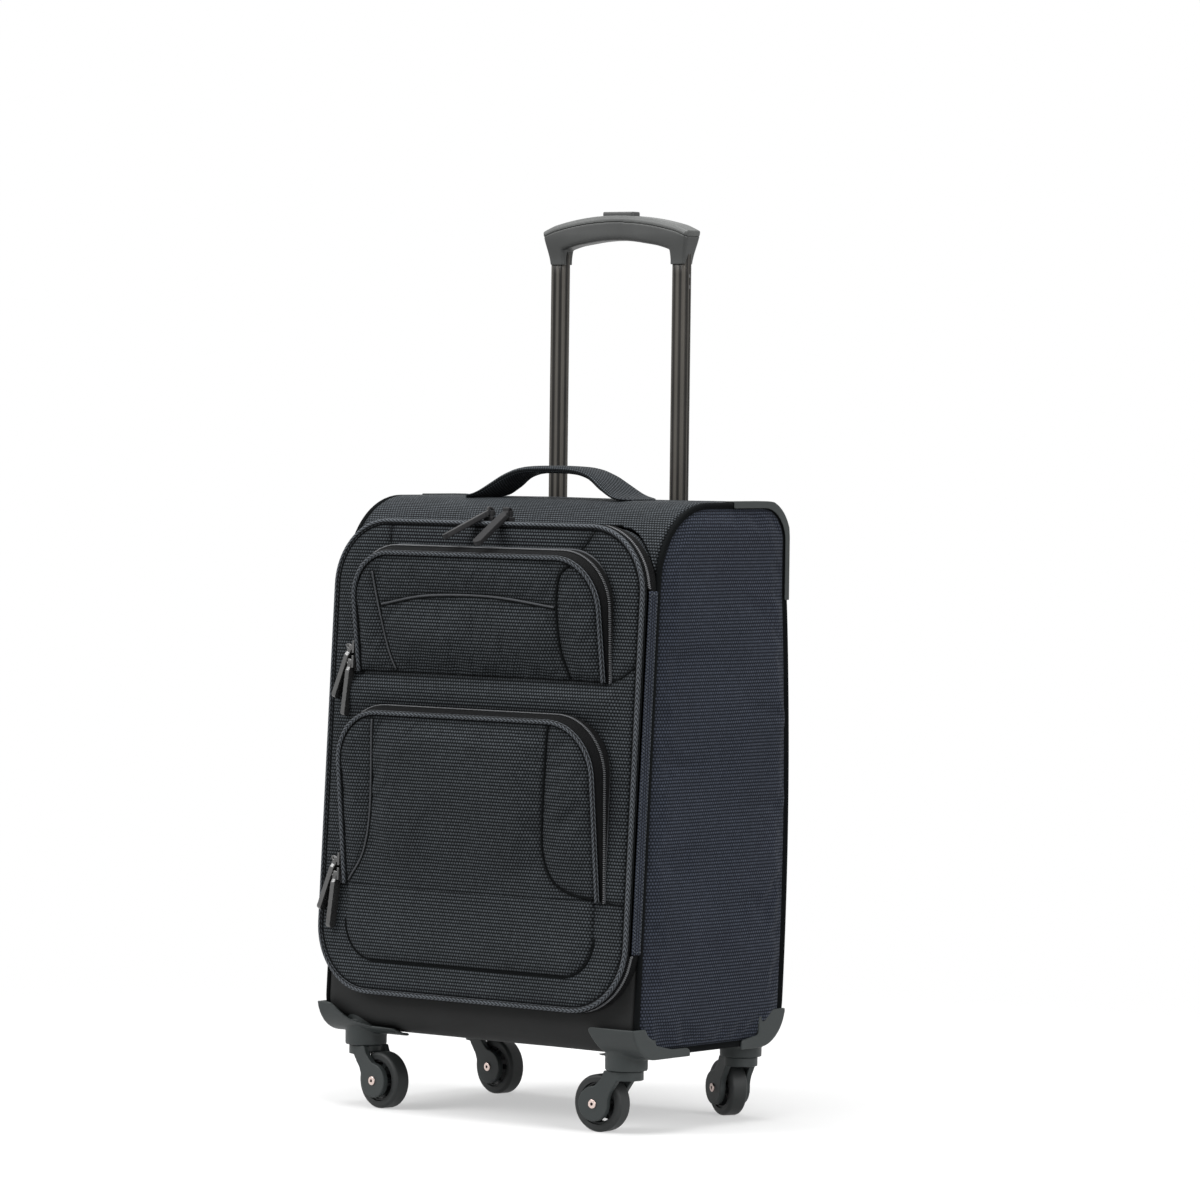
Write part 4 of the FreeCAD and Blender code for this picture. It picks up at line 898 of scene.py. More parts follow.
# ---- operators -------------------------------------------------------------------------------
class SUITCASE_OT_case_fabric(bpy.types.Operator):
    """Builds the fabric wrap, side panels, cords and lining of the case"""

    bl_idname = "suitcase.case_fabric"
    bl_label = "Case Fabric"

    @staticmethod
    def wrap_line():
        """Profile of the wrap as (y, z), from low on the front, under the case and up to its front top."""
        front_start, spacing = 0.18, 0.0015
        profile = case_outline(0.0)
        front_top, front_low = CASE_HIGH - CASE_RADII[2], CASE_LOW + CASE_RADII[3]
        start = np.argmin(np.hypot(profile[:, 0] - front_y(front_low), profile[:, 1] - front_low))
        line = np.vstack([profile[start:], profile[:start + 1]])
        top_turn = np.argmin(np.hypot(line[:, 0] - front_y(front_top), line[:, 1] - front_top))
        return even_points(np.vstack([[(front_y(front_start), front_start)], line[:top_turn + 1]]), spacing)

    @staticmethod
    def wrap_grid(fine):
        """Columns of points along the wrap, cut to the lid's rounded corners, and their texture places."""
        middle_height, overlap = 0.3, 0.002
        columns = np.linspace(-WRAP_HALF, WRAP_HALF, 121)
        edge = np.clip(np.abs(columns) - (LID_HALF - LID_CORNER), 0, LID_CORNER)
        drop = LID_CORNER - np.sqrt(LID_CORNER ** 2 - edge ** 2)
        along = lengths_along(fine)
        ahead = fine[:, 0] < 0
        first = along[ahead & (fine[:, 1] < middle_height)].max()
        last = along[ahead & (fine[:, 1] > middle_height)].min()
        points, places = [], []
        for x, lift in zip(columns, drop):
            begin = along[fine[:, 1] < LID_LOW + overlap + lift].min()
            end = along[(fine[:, 1] > LID_HIGH - overlap - lift) & (along > last)].max()
            ways = np.concatenate([np.linspace(begin, first, 40)[:-1], np.linspace(first, last, 230)[:-1],
                                   np.linspace(last, end, 50)])
            y, z = np.interp(ways, along, fine[:, 0]), np.interp(ways, along, fine[:, 1])
            points.append(np.stack([np.full_like(ways, x), y, z], 1))
            places.append(np.stack([np.full_like(ways, x), ways], 1))
        return np.array(points), np.array(places)

    @staticmethod
    def open_wrap(piece):
        """Cut the handle cup's mouth, face the cloth outwards and give the front of its base plain cloth."""
        inset, top_half, band_top, band_rear = 0.001, 0.5, LID_LOW + 0.07, 0.05
        centre = bmesh.types.BMFace.calc_center_median
        work = bmesh.new()
        work.from_mesh(piece.data)
        work.normal_update()
        low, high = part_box("handle_cup")
        mouth = [face for face in work.faces if centre(face).z > top_half
                 and abs(centre(face).x) < high.x - inset
                 and low.y + inset < centre(face).y < high.y - inset]
        bmesh.ops.delete(work, geom=mouth, context="FACES")
        if any(face.normal.y < 0 for face in work.faces if centre(face).y > CASE_REAR - 0.0005):
            bmesh.ops.reverse_faces(work, faces=work.faces)
        for face in work.faces:
            if centre(face).z < band_top and centre(face).y < band_rear:
                face.material_index = 2
        work.to_mesh(piece.data)
        work.free()

    def wrap(self):
        """Fabric from the lid's lower edge under the case, up its back and over the top."""
        edge_depth, edge_roll, edge_reach = 0.0016, 0.006, 0.05
        wave_size, wave = 0.09, 0.0003
        points, places = self.wrap_grid(self.wrap_line())
        normal = np.cross(np.gradient(points, axis=1), np.gradient(points, axis=0))
        normal /= np.linalg.norm(normal, axis=2, keepdims=True)
        middle, on_back = len(points) // 2, 180
        if normal[middle, on_back, 1] < 0:
            normal = -normal
        flat = places.reshape(-1, 2)
        side = np.minimum(WRAP_HALF - np.abs(flat[:, 0]), edge_reach)
        height = -edge_depth + edge_depth * rise(side, edge_roll) + soft_waves(flat, wave_size, 4) * wave
        points = points + height.reshape(points.shape[:2])[..., None] * normal
        piece = grid_piece("case_wrap", points, places)
        # painted shade along both side edges of the wrap
        set_painted_shade(piece, 0.5 * ridge(side, 0.002))
        self.open_wrap(piece)
        thicken(bowed(piece), FRONT_CLOTH, lining=True)
        finish_piece(piece, "case", [material("front_weave"), material("lining"),
                                                     material("smooth_cloth"), material("lining")],
                     ["back_panel", "top_panel", "bottom_tray"])

    @staticmethod
    def sides():
        """Padded side panels inside their corded edges."""
        plane = Plane((CASE_HALF, 0, 0), Y_AXIS, Z_AXIS)
        edge_height, edge_roll, stuffing = -0.0034, 0.016, 0.0012
        sewn_width, pressure, most = 0.004, 1.2, 0.003
        outline = case_outline(2 * CORD - 0.0006)
        relief = sewn_relief(outline, edge_height, edge_roll, stuffing, seed=5, wave=0.0007)
        piece = panel_piece("side_cloth_right", plane, outline, 0.003, relief)
        sewn = distance_to([closed_line(outline)], points_of(piece)[:, 1:]) < sewn_width
        inflate(piece, sewn, pressure, most)
        thicken(bowed(piece), SIDE_CLOTH, lining=True)
        other = mirrored(piece, "side_cloth_left")
        for panel, node in ((piece, "right_side_panel"), (other, "left_side_panel")):
            finish_piece(panel, "case", [material("side_sheen_weave"), material("lining")], [node])

    @staticmethod
    def cords():
        """Corded edges of both side panels, and beside each a near-black seam cord that paints the shade of its
        groove.
        """
        for name, inset, depth, step, section, replaced in (
                ("side_cord", CORD, CORD, LINE_STEP, ring_section(CORD), ["side_piping"]),
                ("side_seam", 2 * CORD + 0.0002, 0.0022, 0.004, ring_section(0.0011, 6), [])):
            outline = even_points(case_outline(inset), step, closed=True)
            path = np.insert(outline, 0, CASE_HALF - depth, axis=1)
            right = sweep(name + "_right", path, section, X_AXIS, closed=True)
            both = bowed(join_pieces(name, [right, mirrored(right, name + "_left")]))
            finish_piece(both, "case", [material("dark_cord_and_painted_shade")], replaced)

    @staticmethod
    def opening():
        """Stiff edge of the case opening, and the lining on the back wall."""
        edge_depth, edge_width, edge_thickness = -0.011, 0.0215, 0.0024
        middle = lid_middle(edge_depth)
        path = lid_ring(0.0034, edge_depth)
        section = plate_section(edge_width, edge_thickness)
        edge = sweep("opening_edge", path, section, path - middle, closed=True)
        finish_piece(edge, "case", [material("front_weave")], ["front_frame"])
        path = lid_ring(0.0010, -SETBACK / 2 - 0.0006)
        section = plate_section(SETBACK + 0.0022, 0.0018)
        band = sweep("opening_band", path, section, path - middle, closed=True)
        finish_piece(band, "case", [material("zip_tape")])
        low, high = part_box("back_liner")
        plane = Plane((0, low.y, 0), X_AXIS, Z_AXIS)
        outline = rounded([(high.x, low.z), (high.x, high.z), (low.x, high.z), (low.x, low.z)], [0.02] * 4)
        relief = sewn_relief(outline, -0.001, 0.02, 0.001, seed=8, wave=0.0012)
        lining = thicken(panel_piece("back_lining", plane, outline, 0.006, relief), 0.001)
        finish_piece(lining, "case", [material("lining")], ["back_liner"])

    def execute(self, context):
        self.wrap()
        self.sides()
        self.cords()
        self.opening()
        return {"FINISHED"}


class SUITCASE_OT_lid_fabric(bpy.types.Operator):
    """Builds the lid's front, its braided edge, rim and fabric hinge"""

    bl_idname = "suitcase.lid_fabric"
    bl_label = "Lid Fabric"

    @staticmethod
    def front():
        """Front cloth of the lid, with a soft roll between the pockets."""
        roll_depth, roll_top, roll_low, roll_reach = 0.0052, 0.015, 0.026, 0.046
        roll_half, roll_side = 0.160, 0.02
        outline = lid_outline(2 * CORD - 0.0004)
        pockets = [UPPER.arch(-0.0050), LOWER.arch(-0.0050)]
        base = sewn_relief(outline, -0.0034, 0.009, 0.0016, LID_SEAMS, seed=11)

        def relief(places):
            height, painted_shade = base(places)
            reach = np.abs(places[:, 0])
            below = UPPER.base - 0.0008 - places[:, 1]
            roll = roll_depth * soft_step(below / roll_top) * soft_step((roll_reach - below) / roll_low)
            roll = roll * soft_step((roll_half - reach) / roll_side)
            # painted shade round the pockets' outlines and under the upper pocket's base, where the flap tucks in
            painted_shade = painted_shade + 0.7 * ridge(distance_to(pockets, places), 0.002)
            painted_shade = painted_shade + 0.8 * ridge(below + 0.0006, 0.0022) * (reach < UPPER.half)
            return height + roll + LID_FACE, painted_shade

        panel = panel_piece("lid_cloth", LID, outline, 0.0026, relief)
        thicken(panel, FRONT_CLOTH, lining=True)
        finish_piece(panel, "lid", [material("front_weave"), material("lining")],
                     ["lid_panel"])
        # near-black cords along the seams: painted shade in their grooves
        for number, line in enumerate(LID_SEAMS):
            seam_cord(f"lid_seam_{number}", LID, line, relief, 0.0008, -0.0002, "lid", "dark_cord_and_painted_shade")

    @staticmethod
    def edges():
        """Braided cord round the lid, near-black cords beside it that paint the shade of its seams, and the rim
        behind it.
        """
        for name, inset, depth, radius, finish, replaced in (
                ("lid_cord", CORD, LID_CORD_DEPTH, CORD, "braid", ["lid_piping"]),
                ("lid_inner_seam", 2 * CORD + 0.0006, LID_FACE - 0.0022, 0.0011, "dark_cord_and_painted_shade", []),
                ("lid_outer_seam", 0.0004, LID_CORD_DEPTH - 0.0022, 0.0010, "dark_cord_and_painted_shade", [])):
            cord = sweep(name, lid_ring(inset, depth), ring_section(radius, 14), LID.out, closed=True)
            finish_piece(cord, "lid", [material(finish)], replaced)
        rim_depth = 0.0061
        path = lid_ring(0.0016, rim_depth)
        facing = path - lid_middle(rim_depth)
        rim = sweep("lid_rim_tape", path, plate_section(0.0026, 0.0020), facing, closed=True)
        finish_piece(rim, "lid", [material("zip_tape")], ["lid_rim"])

    @staticmethod
    def hinge():
        """Cloth hinge on the lid's right side, with stitches round its edge."""
        front, thickness, stitch_inset, end_inset = 0.0047, 0.0014, 0.0014, 0.004
        stitch_pitch, stitch = 0.0034, (0.0024, 0.0007, 0.0005)
        _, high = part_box("lid_hinge_strip")
        heights = np.linspace(HINGE_LOW + 0.0015, HINGE_HIGH - 0.0015, 90)
        width = front + SETBACK + 0.001
        depth = front - width / 2
        path = LID.at(high.x - 0.0004, heights, depth)
        strip = sweep("hinge_cloth", path, plate_section(width, thickness), X_AXIS)
        # side cloth with its bluer painted sheen, as the strip faces sideways
        finish_piece(strip, "case", [material("side_sheen_weave")], ["lid_hinge_strip"])
        inner = width / 2 - stitch_inset
        bottom, top = HINGE_LOW + end_inset, HINGE_HIGH - end_inset
        box = np.array([(bottom, -inner), (top, -inner), (top, inner), (bottom, inner)])
        line = even_points(closed_line(box), 0.001)
        path = LID.at(high.x + 0.0004, line[:, 0], depth + line[:, 1])
        stitches = beads("hinge_stitches", path, X_AXIS, stitch_pitch, stitch, material("thread"))
        finish_piece(stitches, "case", [])

    def execute(self, context):
        self.front()
        self.edges()
        self.hinge()
        return {"FINISHED"}


class SUITCASE_OT_pockets(bpy.types.Operator):
    """Builds both front pockets: padded flaps, braided edges, zipped gussets and the foot below"""

    bl_idname = "suitcase.pockets"
    bl_label = "Front Pockets"

    @staticmethod
    def flap(pocket, ridges, grooves, seed, open_base):
        """One padded flap, puffed up between its seams, with the cords of its seams."""
        edge_height, edge_roll = -0.0022, 0.010
        sewn_width, pressure, most = 0.0016, 3.0, 0.004
        plane, arch = pocket.plane, pocket.arch(0.0040)
        puff = bpy.context.scene.suitcase_fabric.puff
        seams = [*ridges, *grooves]
        relief = sewn_relief(arch, edge_height, edge_roll, puff, seams, seed, open_base=open_base)
        piece = panel_piece(pocket.name + "_flap_cloth", plane, arch, 0.0019, relief)
        level = points_of(piece)
        offset = level - np.array(plane.origin)
        flat = np.stack([offset @ np.array(plane.across), offset @ np.array(plane.up)], 1)
        sewn = distance_to([closed_line(arch), *seams], flat) < sewn_width
        inflate(piece, sewn, pressure, most)
        if open_base:
            blend_height = 0.06
            hold = soft_step((flat[:, 1] - pocket.base) / blend_height)[:, None]
            move_points(piece, level + (points_of(piece) - level) * hold)
        thicken(piece, FLAP_CLOTH, lining=True)
        body = pocket.name + "_flap"
        finish_piece(piece, body, [material("front_weave"), material("lining")], [body])
        for number, line in enumerate(ridges):
            shade_gap, runs_across = 0.0016, abs(line[0, 0] - line[-1, 0]) > 0.05
            beside = line + np.array([0.0, -shade_gap] if runs_across else [shade_gap, 0.0])
            # lighter cord on each ridge is a painted highlight; the near-black cord beside it is a painted shadow
            seam_cord(f"{pocket.name}_ridge_{number}", plane, line, relief, 0.0010, 0.0006, body,
                      "ridge_highlight_cloth")
            seam_cord(f"{pocket.name}_ridge_shade_{number}", plane, beside, relief, 0.0007, 0.0002, body,
                      "dark_cord_and_painted_shade")
        # near-black cords in the grooves: painted shade
        for number, line in enumerate(grooves):
            seam_cord(f"{pocket.name}_seam_{number}", plane, line, relief, 0.0012, 0.0, body, "dark_cord_and_painted_shade")

    @staticmethod
    def cords(pocket):
        """Braided cord on the flap, and inside it a near-black cord that paints the shade of its seam."""
        plane, body = pocket.plane, pocket.name + "_flap"
        for name, inset, height, radius, finish, replaced in (
                (body + "_cord", 0.0020, -0.0005, 0.0021, "braid", [body + "_piping"]),
                (body + "_seam", 0.0046, -0.0016, 0.0010, "dark_cord_and_painted_shade", [])):
            line = even_points(pocket.arch(inset), POCKET_STEP)
            path = plane.at(line[:, 0], line[:, 1], height)
            cord = sweep(name, path, ring_section(radius, 12), plane.out)
            finish_piece(cord, body, [material(finish)], replaced)

    @staticmethod
    def gusset(pocket):
        """Zipped wall between the lid and the flap's edge, its zip coil and the cord at its foot."""
        count, rows = 190, 9
        least_height, bulge_depth, coil_lift, least_coil = 0.0008, 0.0016, 0.0005, 0.004
        coil_link = (0.0011, 0.0042, 0.0016)
        outer, inner = (resampled(pocket.arch(inset), count) for inset in (-0.0042, 0.0008))
        foot = LID.at(outer[:, 0], outer[:, 1], LID_FACE + 0.0002)
        lip = pocket.plane.at(inner[:, 0], inner[:, 1], -0.0030)
        out = np.array(LID.out)
        ahead = (lip - foot) @ out
        lip = lip + np.maximum(least_height - ahead, 0)[:, None] * out
        share = np.linspace(0, 1, rows)
        side = foot - np.roll(foot, 1, axis=0)
        side[0] = side[1]
        side = np.cross(side, out)
        side /= np.linalg.norm(side, axis=1, keepdims=True)
        from_base = foot - np.array(LID.point(0, pocket.base))
        away = np.where((from_base * side).sum(1, keepdims=True) > 0, side, -side)
        bulge = (np.sin(share * math.pi) * bulge_depth)[None, :, None] * away[:, None]
        wall = foot[:, None] + (lip - foot)[:, None] * share[None, :, None] + bulge
        along = lengths_along(outer)
        widths = np.linalg.norm(lip - foot, axis=1)
        texture = np.stack([np.repeat(along[:, None], rows, 1), widths[:, None] * share[None]], 2)
        piece = grid_piece(pocket.name + "_gusset", wall, texture)
        thicken(piece, 0.0010)
        finish_piece(piece, "lid", [material("zip_tape")],
                     ["pocket_gussets"] if pocket.name == "upper" else [])
        cord = sweep(pocket.name + "_foot_cord", foot, ring_section(0.0011, 8), LID.out)
        # lighter cord: painted highlight along the gusset's foot
        finish_piece(cord, "lid", [material("ridge_highlight_cloth")])
        wide = widths > least_coil
        path = (wall[:, rows // 2] + away * coil_lift)[wide]
        pitch = bpy.context.scene.suitcase_fabric.coil_pitch
        coil = beads(pocket.name + "_zip_coil", path, away[wide], pitch * 0.9, coil_link,
                     material("zip_coil"))
        finish_piece(coil, "lid", [])

    @staticmethod
    def foot(puff):
        """Padded panel that carries on below the lower pocket."""
        roll = 0.024
        right, top = FOOT_HALF, LOWER.base
        past_top = top + 0.05
        corners = [(right, FOOT_LOW), (right, top), (-right, top), (-right, FOOT_LOW)]
        outline = rounded(corners, [FOOT_CORNER, 0, 0, FOOT_CORNER])
        corners = [(right, past_top), (right, FOOT_LOW), (-right, FOOT_LOW), (-right, past_top)]
        border = rounded(corners, [0, FOOT_CORNER, FOOT_CORNER, 0], closed=False)

        def relief(places):
            gap = distance_to([border], places)
            height = LID_FACE + (POCKET_FACE - LID_FACE + puff) * rise(gap, roll)
            # painted shade along the foot's border
            return height + soft_waves(places, 0.06, 31) * 0.0003, 0.8 * ridge(gap, 0.0026)

        def level(places):
            return np.full(len(places), LID_FACE), None

        piece = panel_piece("pocket_foot", LID, outline, 0.0022, relief)
        thicken(piece, FLAP_CLOTH, lining=True)
        seam = resampled(border[border[:, 1] < top], 160)
        # near-black cord: painted shade in the seam round the foot
        seam_cord("pocket_foot_seam", LID, seam, level, 0.0012, 0.0010, "lid", "dark_cord_and_painted_shade")
        finish_piece(piece, "lid", [material("front_weave"), material("lining")],
                     ["lower_pocket_foot"])

    def execute(self, context):
        self.flap(UPPER, [UPPER_ARC, UPPER_LEFT], [UPPER_RIGHT], 21, False)
        self.flap(LOWER, [LOWER_LEFT], [LOWER_RIGHT], 22, True)
        for pocket in (UPPER, LOWER):
            self.cords(pocket)
            self.gusset(pocket)
        self.foot(context.scene.suitcase_fabric.puff)
        return {"FINISHED"}


class SUITCASE_OT_zips(bpy.types.Operator):
    """Builds the tape and coil of both halves of the main zip"""

    bl_idname = "suitcase.zips"
    bl_label = "Main Zip"

    def execute(self, context):
        pitch = context.scene.suitcase_fabric.coil_pitch
        coil_lift, coil_link, margin = 0.0008, (0.0012, 0.0030, 0.0017), 1e-6
        outline = lid_outline(0.0012)
        edge = outline[:, 0].max()
        start = np.argmin(np.hypot(outline[:, 0] - edge, outline[:, 1] - (LID_HIGH - LID_CORNER)))
        around = np.roll(outline, -start, axis=0)
        arc = np.vstack([[(edge, HINGE_HIGH)], around, [(edge, HINGE_LOW)]])
        beside_hinge = (arc[:, 0] > edge - margin) & (HINGE_LOW < arc[:, 1]) & (arc[:, 1] < HINGE_HIGH)
        line = even_points(arc[~beside_hinge], LINE_STEP)
        fine = even_points(line, LINE_STEP / 2)
        for name, body, tape_depth, coil_depth, shift in (
                ("main_zip_case", "case", 0.0012, 0.0019, 0.0),
                ("main_zip_lid", "lid", 0.0036, 0.0029, pitch / 2)):
            path = LID.at(line[:, 0], line[:, 1], tape_depth)
            middle = lid_middle(tape_depth)
            tape = sweep(name + "_tape", path, plate_section(0.0022, 0.0012), path - middle)
            finish_piece(tape, body, [material("zip_tape")], [name])
            path = LID.at(fine[:, 0], fine[:, 1], coil_depth)
            out = path - middle
            out /= np.linalg.norm(out, axis=1, keepdims=True)
            coil = beads(name + "_coil", path + out * coil_lift, out, pitch, coil_link,
                         material("zip_coil"), shift)
            finish_piece(coil, body, [])
        return {"FINISHED"}


class SUITCASE_OT_handles(bpy.types.Operator):
    """Builds the carry handle and the grip, tubes and button of the trolley"""

    bl_idname = "suitcase.handles"
    bl_label = "Handles"

    @staticmethod
    def strap():
        """Padded strap with flat feet; its side view is drawn as (distance from the middle, height)."""
        squareness, roundness = 0.45, 0.75
        low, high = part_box("carry_handle")
        middle_y, foot = (low.y + high.y) / 2, (high.y - low.y) / 2
        side = [(0.096, 0.5430), (0.086, 0.5442), (0.076, 0.5468), (0.062, 0.5542), (0.049, 0.5618),
                (0.034, 0.5667), (0.015, 0.5684)]
        line = smooth_line([(-x, z) for x, z in side] + side[::-1], 0.0022)
        reach = np.abs(line[:, 0])
        half = np.interp(reach, [0.0, 0.046, 0.062, 0.078, 0.088, 0.096],
                         [0.0175, 0.0185, 0.0225, foot, foot, 0.014])
        thick = np.interp(reach, [0.0, 0.060, 0.080, 0.096], [0.0034, 0.0034, 0.0020, 0.0012])
        angles = np.linspace(0, 2 * math.pi, 22, endpoint=False)
        across, lift = signed_power(np.cos(angles), squareness), signed_power(np.sin(angles), roundness)
        section = np.stack([half[:, None] * across, thick[:, None] * lift], 2)
        path = np.stack([line[:, 0], np.full(len(line), middle_y), line[:, 1]], 1)
        strap = sweep("carry_strap", path, section, Z_AXIS)
        finish_piece(strap, "case", [material("strap_weave")], ["carry_handle"])

    @staticmethod
    def tubes():
        """Grooved inner tubes."""
        groove, grooves, flute_pitch, rings = 0.0004, 12, 0.0068, 12
        low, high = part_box("inner_tubes")
        depth = (high.y - low.y) / 2
        angles = np.linspace(0, 2 * math.pi, 96, endpoint=False)
        cut = groove * np.clip(np.cos(angles * grooves), 0, 1)
        across = signed_power(np.cos(angles), 0.6) * (TUBE_HALF - cut)
        deep = signed_power(np.sin(angles), 0.8) * (depth - cut)
        section = np.stack([deep, across], 1)
        x, y = high.x - TUBE_HALF, (low.y + high.y) / 2
        path = np.stack([np.full(rings, x), np.full(rings, y), np.linspace(low.z, high.z, rings)], 1)
        right = sweep("tube_right", path, section, X_AXIS)
        both = join_pieces("grooved_tubes", [right, mirrored(right, "tube_left")])
        # painted shade: dark stripes round the tube where its flutes are
        flute_shades = np.clip(0.4 + np.cos(lengths_along(section) * 2 * math.pi / flute_pitch), 0, 1)
        set_painted_shade(both, np.tile(flute_shades, 2 * rings))
        for face in both.data.polygons:
            face.use_smooth = abs(face.normal.z) < 0.5
        finish_piece(both, "inner_stage", [material("tube_metal")], ["inner_tubes"])

    @staticmethod
    def slim(piece, is_button):
        """Draw the legs of the grip in to their tubes, and the ends of the button inwards."""
        low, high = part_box("inner_tubes")
        tube_x, middle = high.x - TUBE_HALF, (low.y + high.y) / 2
        points = points_of(piece)
        reach = np.abs(points[:, 0])
        if is_button:
            button_share = 0.86
            reach *= button_share
        else:
            leg_top, leg_blend, bar_reach, bar_blend = 0.779, 0.028, 0.030, 0.015
            end_share, end_draw, inner_draw, depth_draw = 0.73, 0.16, 0.40, 0.34
            down = soft_step((leg_top - points[:, 2]) / leg_blend)
            outer = end_share - end_draw * down
            inner = 1 - inner_draw * down * soft_step((reach - bar_reach) / bar_blend)
            reach = np.where(reach > tube_x, tube_x + (reach - tube_x) * outer,
                             tube_x - (tube_x - reach) * inner)
            points[:, 1] = middle + (points[:, 1] - middle) * (1 - depth_draw * down)
        points[:, 0] = np.sign(points[:, 0]) * reach
        move_points(piece, points)

    def execute(self, context):
        self.strap()
        self.tubes()
        for node, body, slot, finish, voxel in (
                ("grip_body", "inner_stage", "grip_plastic", "grip", 0.0008),
                ("grip_cover", "inner_stage", "grip_plastic", "grip_top", 0.0008),
                ("grip_button", "button", "grip_plastic", "grip", 0.0006),
                ("handle_cup", "case", "dark_plastic", "moulding", 0.0010)):
            piece = moulded(node + "_moulded", node, voxel, 8 if node == "grip_body" else 3)
            if node.startswith("grip"):
                self.slim(piece, node == "grip_button")
            finish_piece(piece, body, [material(finish)], [node])
        return {"FINISHED"}


class SUITCASE_OT_fittings(bpy.types.Operator):
    """Rounds the castings, guards, forks, hubs, sliders and pulls as they are moulded"""

    bl_idname = "suitcase.fittings"
    bl_label = "Castings and Wheels"

    @staticmethod
    def thin_guards(piece):
        """Draw the guards in so they stand only a little proud of the cloth, with narrow flanges."""
        narrower, drawn_in = 0.35, 0.6
        points = points_of(piece)
        turn = CASE_RADII[1]
        past = points[:, 1:] - np.array([CASE_REAR - turn, CASE_HIGH - turn])
        corner = (past > 0).all(1)
        reach = np.where(corner, np.hypot(past[:, 0], past[:, 1]), past.max(1))
        way = np.where(corner[:, None], past / np.maximum(reach, 1e-6)[:, None],
                       np.stack([past[:, 0] >= past[:, 1], past[:, 0] < past[:, 1]], 1))
        points[:, 1:] += way * (np.maximum(turn - reach, 0) * narrower)[:, None]
        for axis, limit in ((0, CASE_HALF), (1, CASE_REAR), (2, CASE_HIGH)):
            proud = np.maximum(np.abs(points[:, axis]) - limit, 0)
            points[:, axis] -= np.sign(points[:, axis]) * proud * drawn_in
        move_points(piece, points)

    @staticmethod
    def thicken_pull(piece, scale):
        """Thicken a zip pull across its thinnest way and widen it a little."""
        widening = 0.15
        points = points_of(piece)
        middle = points.mean(0)
        _, wide, thin = np.linalg.svd(points - middle, full_matrices=False)[2]
        points += ((points - middle) @ thin)[:, None] * (scale - 1) * thin
        points += ((points - middle) @ wide)[:, None] * widening * wide
        move_points(piece, points)

    def execute(self, context):
        settings = context.scene.suitcase_finish
        nodes = {"caster_castings": ("moulding", 0.0010, 5), "corner_guards": ("moulding", 0.0008, 3)}
        for corner in ("front_left", "front_right", "rear_left", "rear_right"):
            nodes[corner + "_fork"] = ("moulding", 0.0006, 3)
            nodes[corner + "_hub"] = ("wheel", 0.0005, 2)
        for zip_name in ("main", "upper", "lower"):
            metal = "gunmetal" if zip_name == "main" else "slider_metal"
            nodes[zip_name + "_sliders"] = (metal, 0.00028, 3)
            nodes[zip_name + "_pull_a"] = nodes[zip_name + "_pull_b"] = (metal, 0.00028, 3)
        record = frame["record"]
        bodies = {node: body for body, members in record["behaviour"]["bodies"].items() for node in members}
        for node, (finish, voxel, rounds) in nodes.items():
            piece = moulded(node + "_moulded", node, voxel, rounds)
            if node == "corner_guards":
                self.thin_guards(piece)
            if "_pull_" in node:
                self.thicken_pull(piece, settings.pull_thickness)
                pivot = Vector(joint(node + "_hinge")["pos_m"])
                about_pivot = Matrix.Translation(pivot) @ Matrix.Scale(settings.pull_size, 4)
                piece.data.transform(about_pivot @ Matrix.Translation(-pivot))
            finish_piece(piece, bodies[node], [material(finish)], [node])
        return {"FINISHED"}


class SUITCASE_OT_kept_finishes(bpy.types.Operator):
    """Gives every CAD piece that still shows its finish"""

    bl_idname = "suitcase.kept_finishes"
    bl_label = "Finishes of Kept Pieces"

    def execute(self, context):
        finishes = {"shell_fabric": "smooth_cloth", "piping": "smooth_cloth", "lining": "smooth_cloth",
                    "zip_tape": "smooth_cloth", "zip_metal": "slider_metal", "dark_plastic": "moulding",
                    "grip_plastic": "grip", "tube_metal": "tube_metal", "steel": "steel",
                    "bright_rivet": "rivet", "tyre": "tyre"}
        for part in frame["record"]["subparts"]:
            mesh = frame["nodes"][part["node"]].data
            mesh.materials.clear()
            dark = part["node"] == "tube_rivets"
            mesh.materials.append(material("slider_metal" if dark else finishes[part["material_slot"]]))
        return {"FINISHED"}


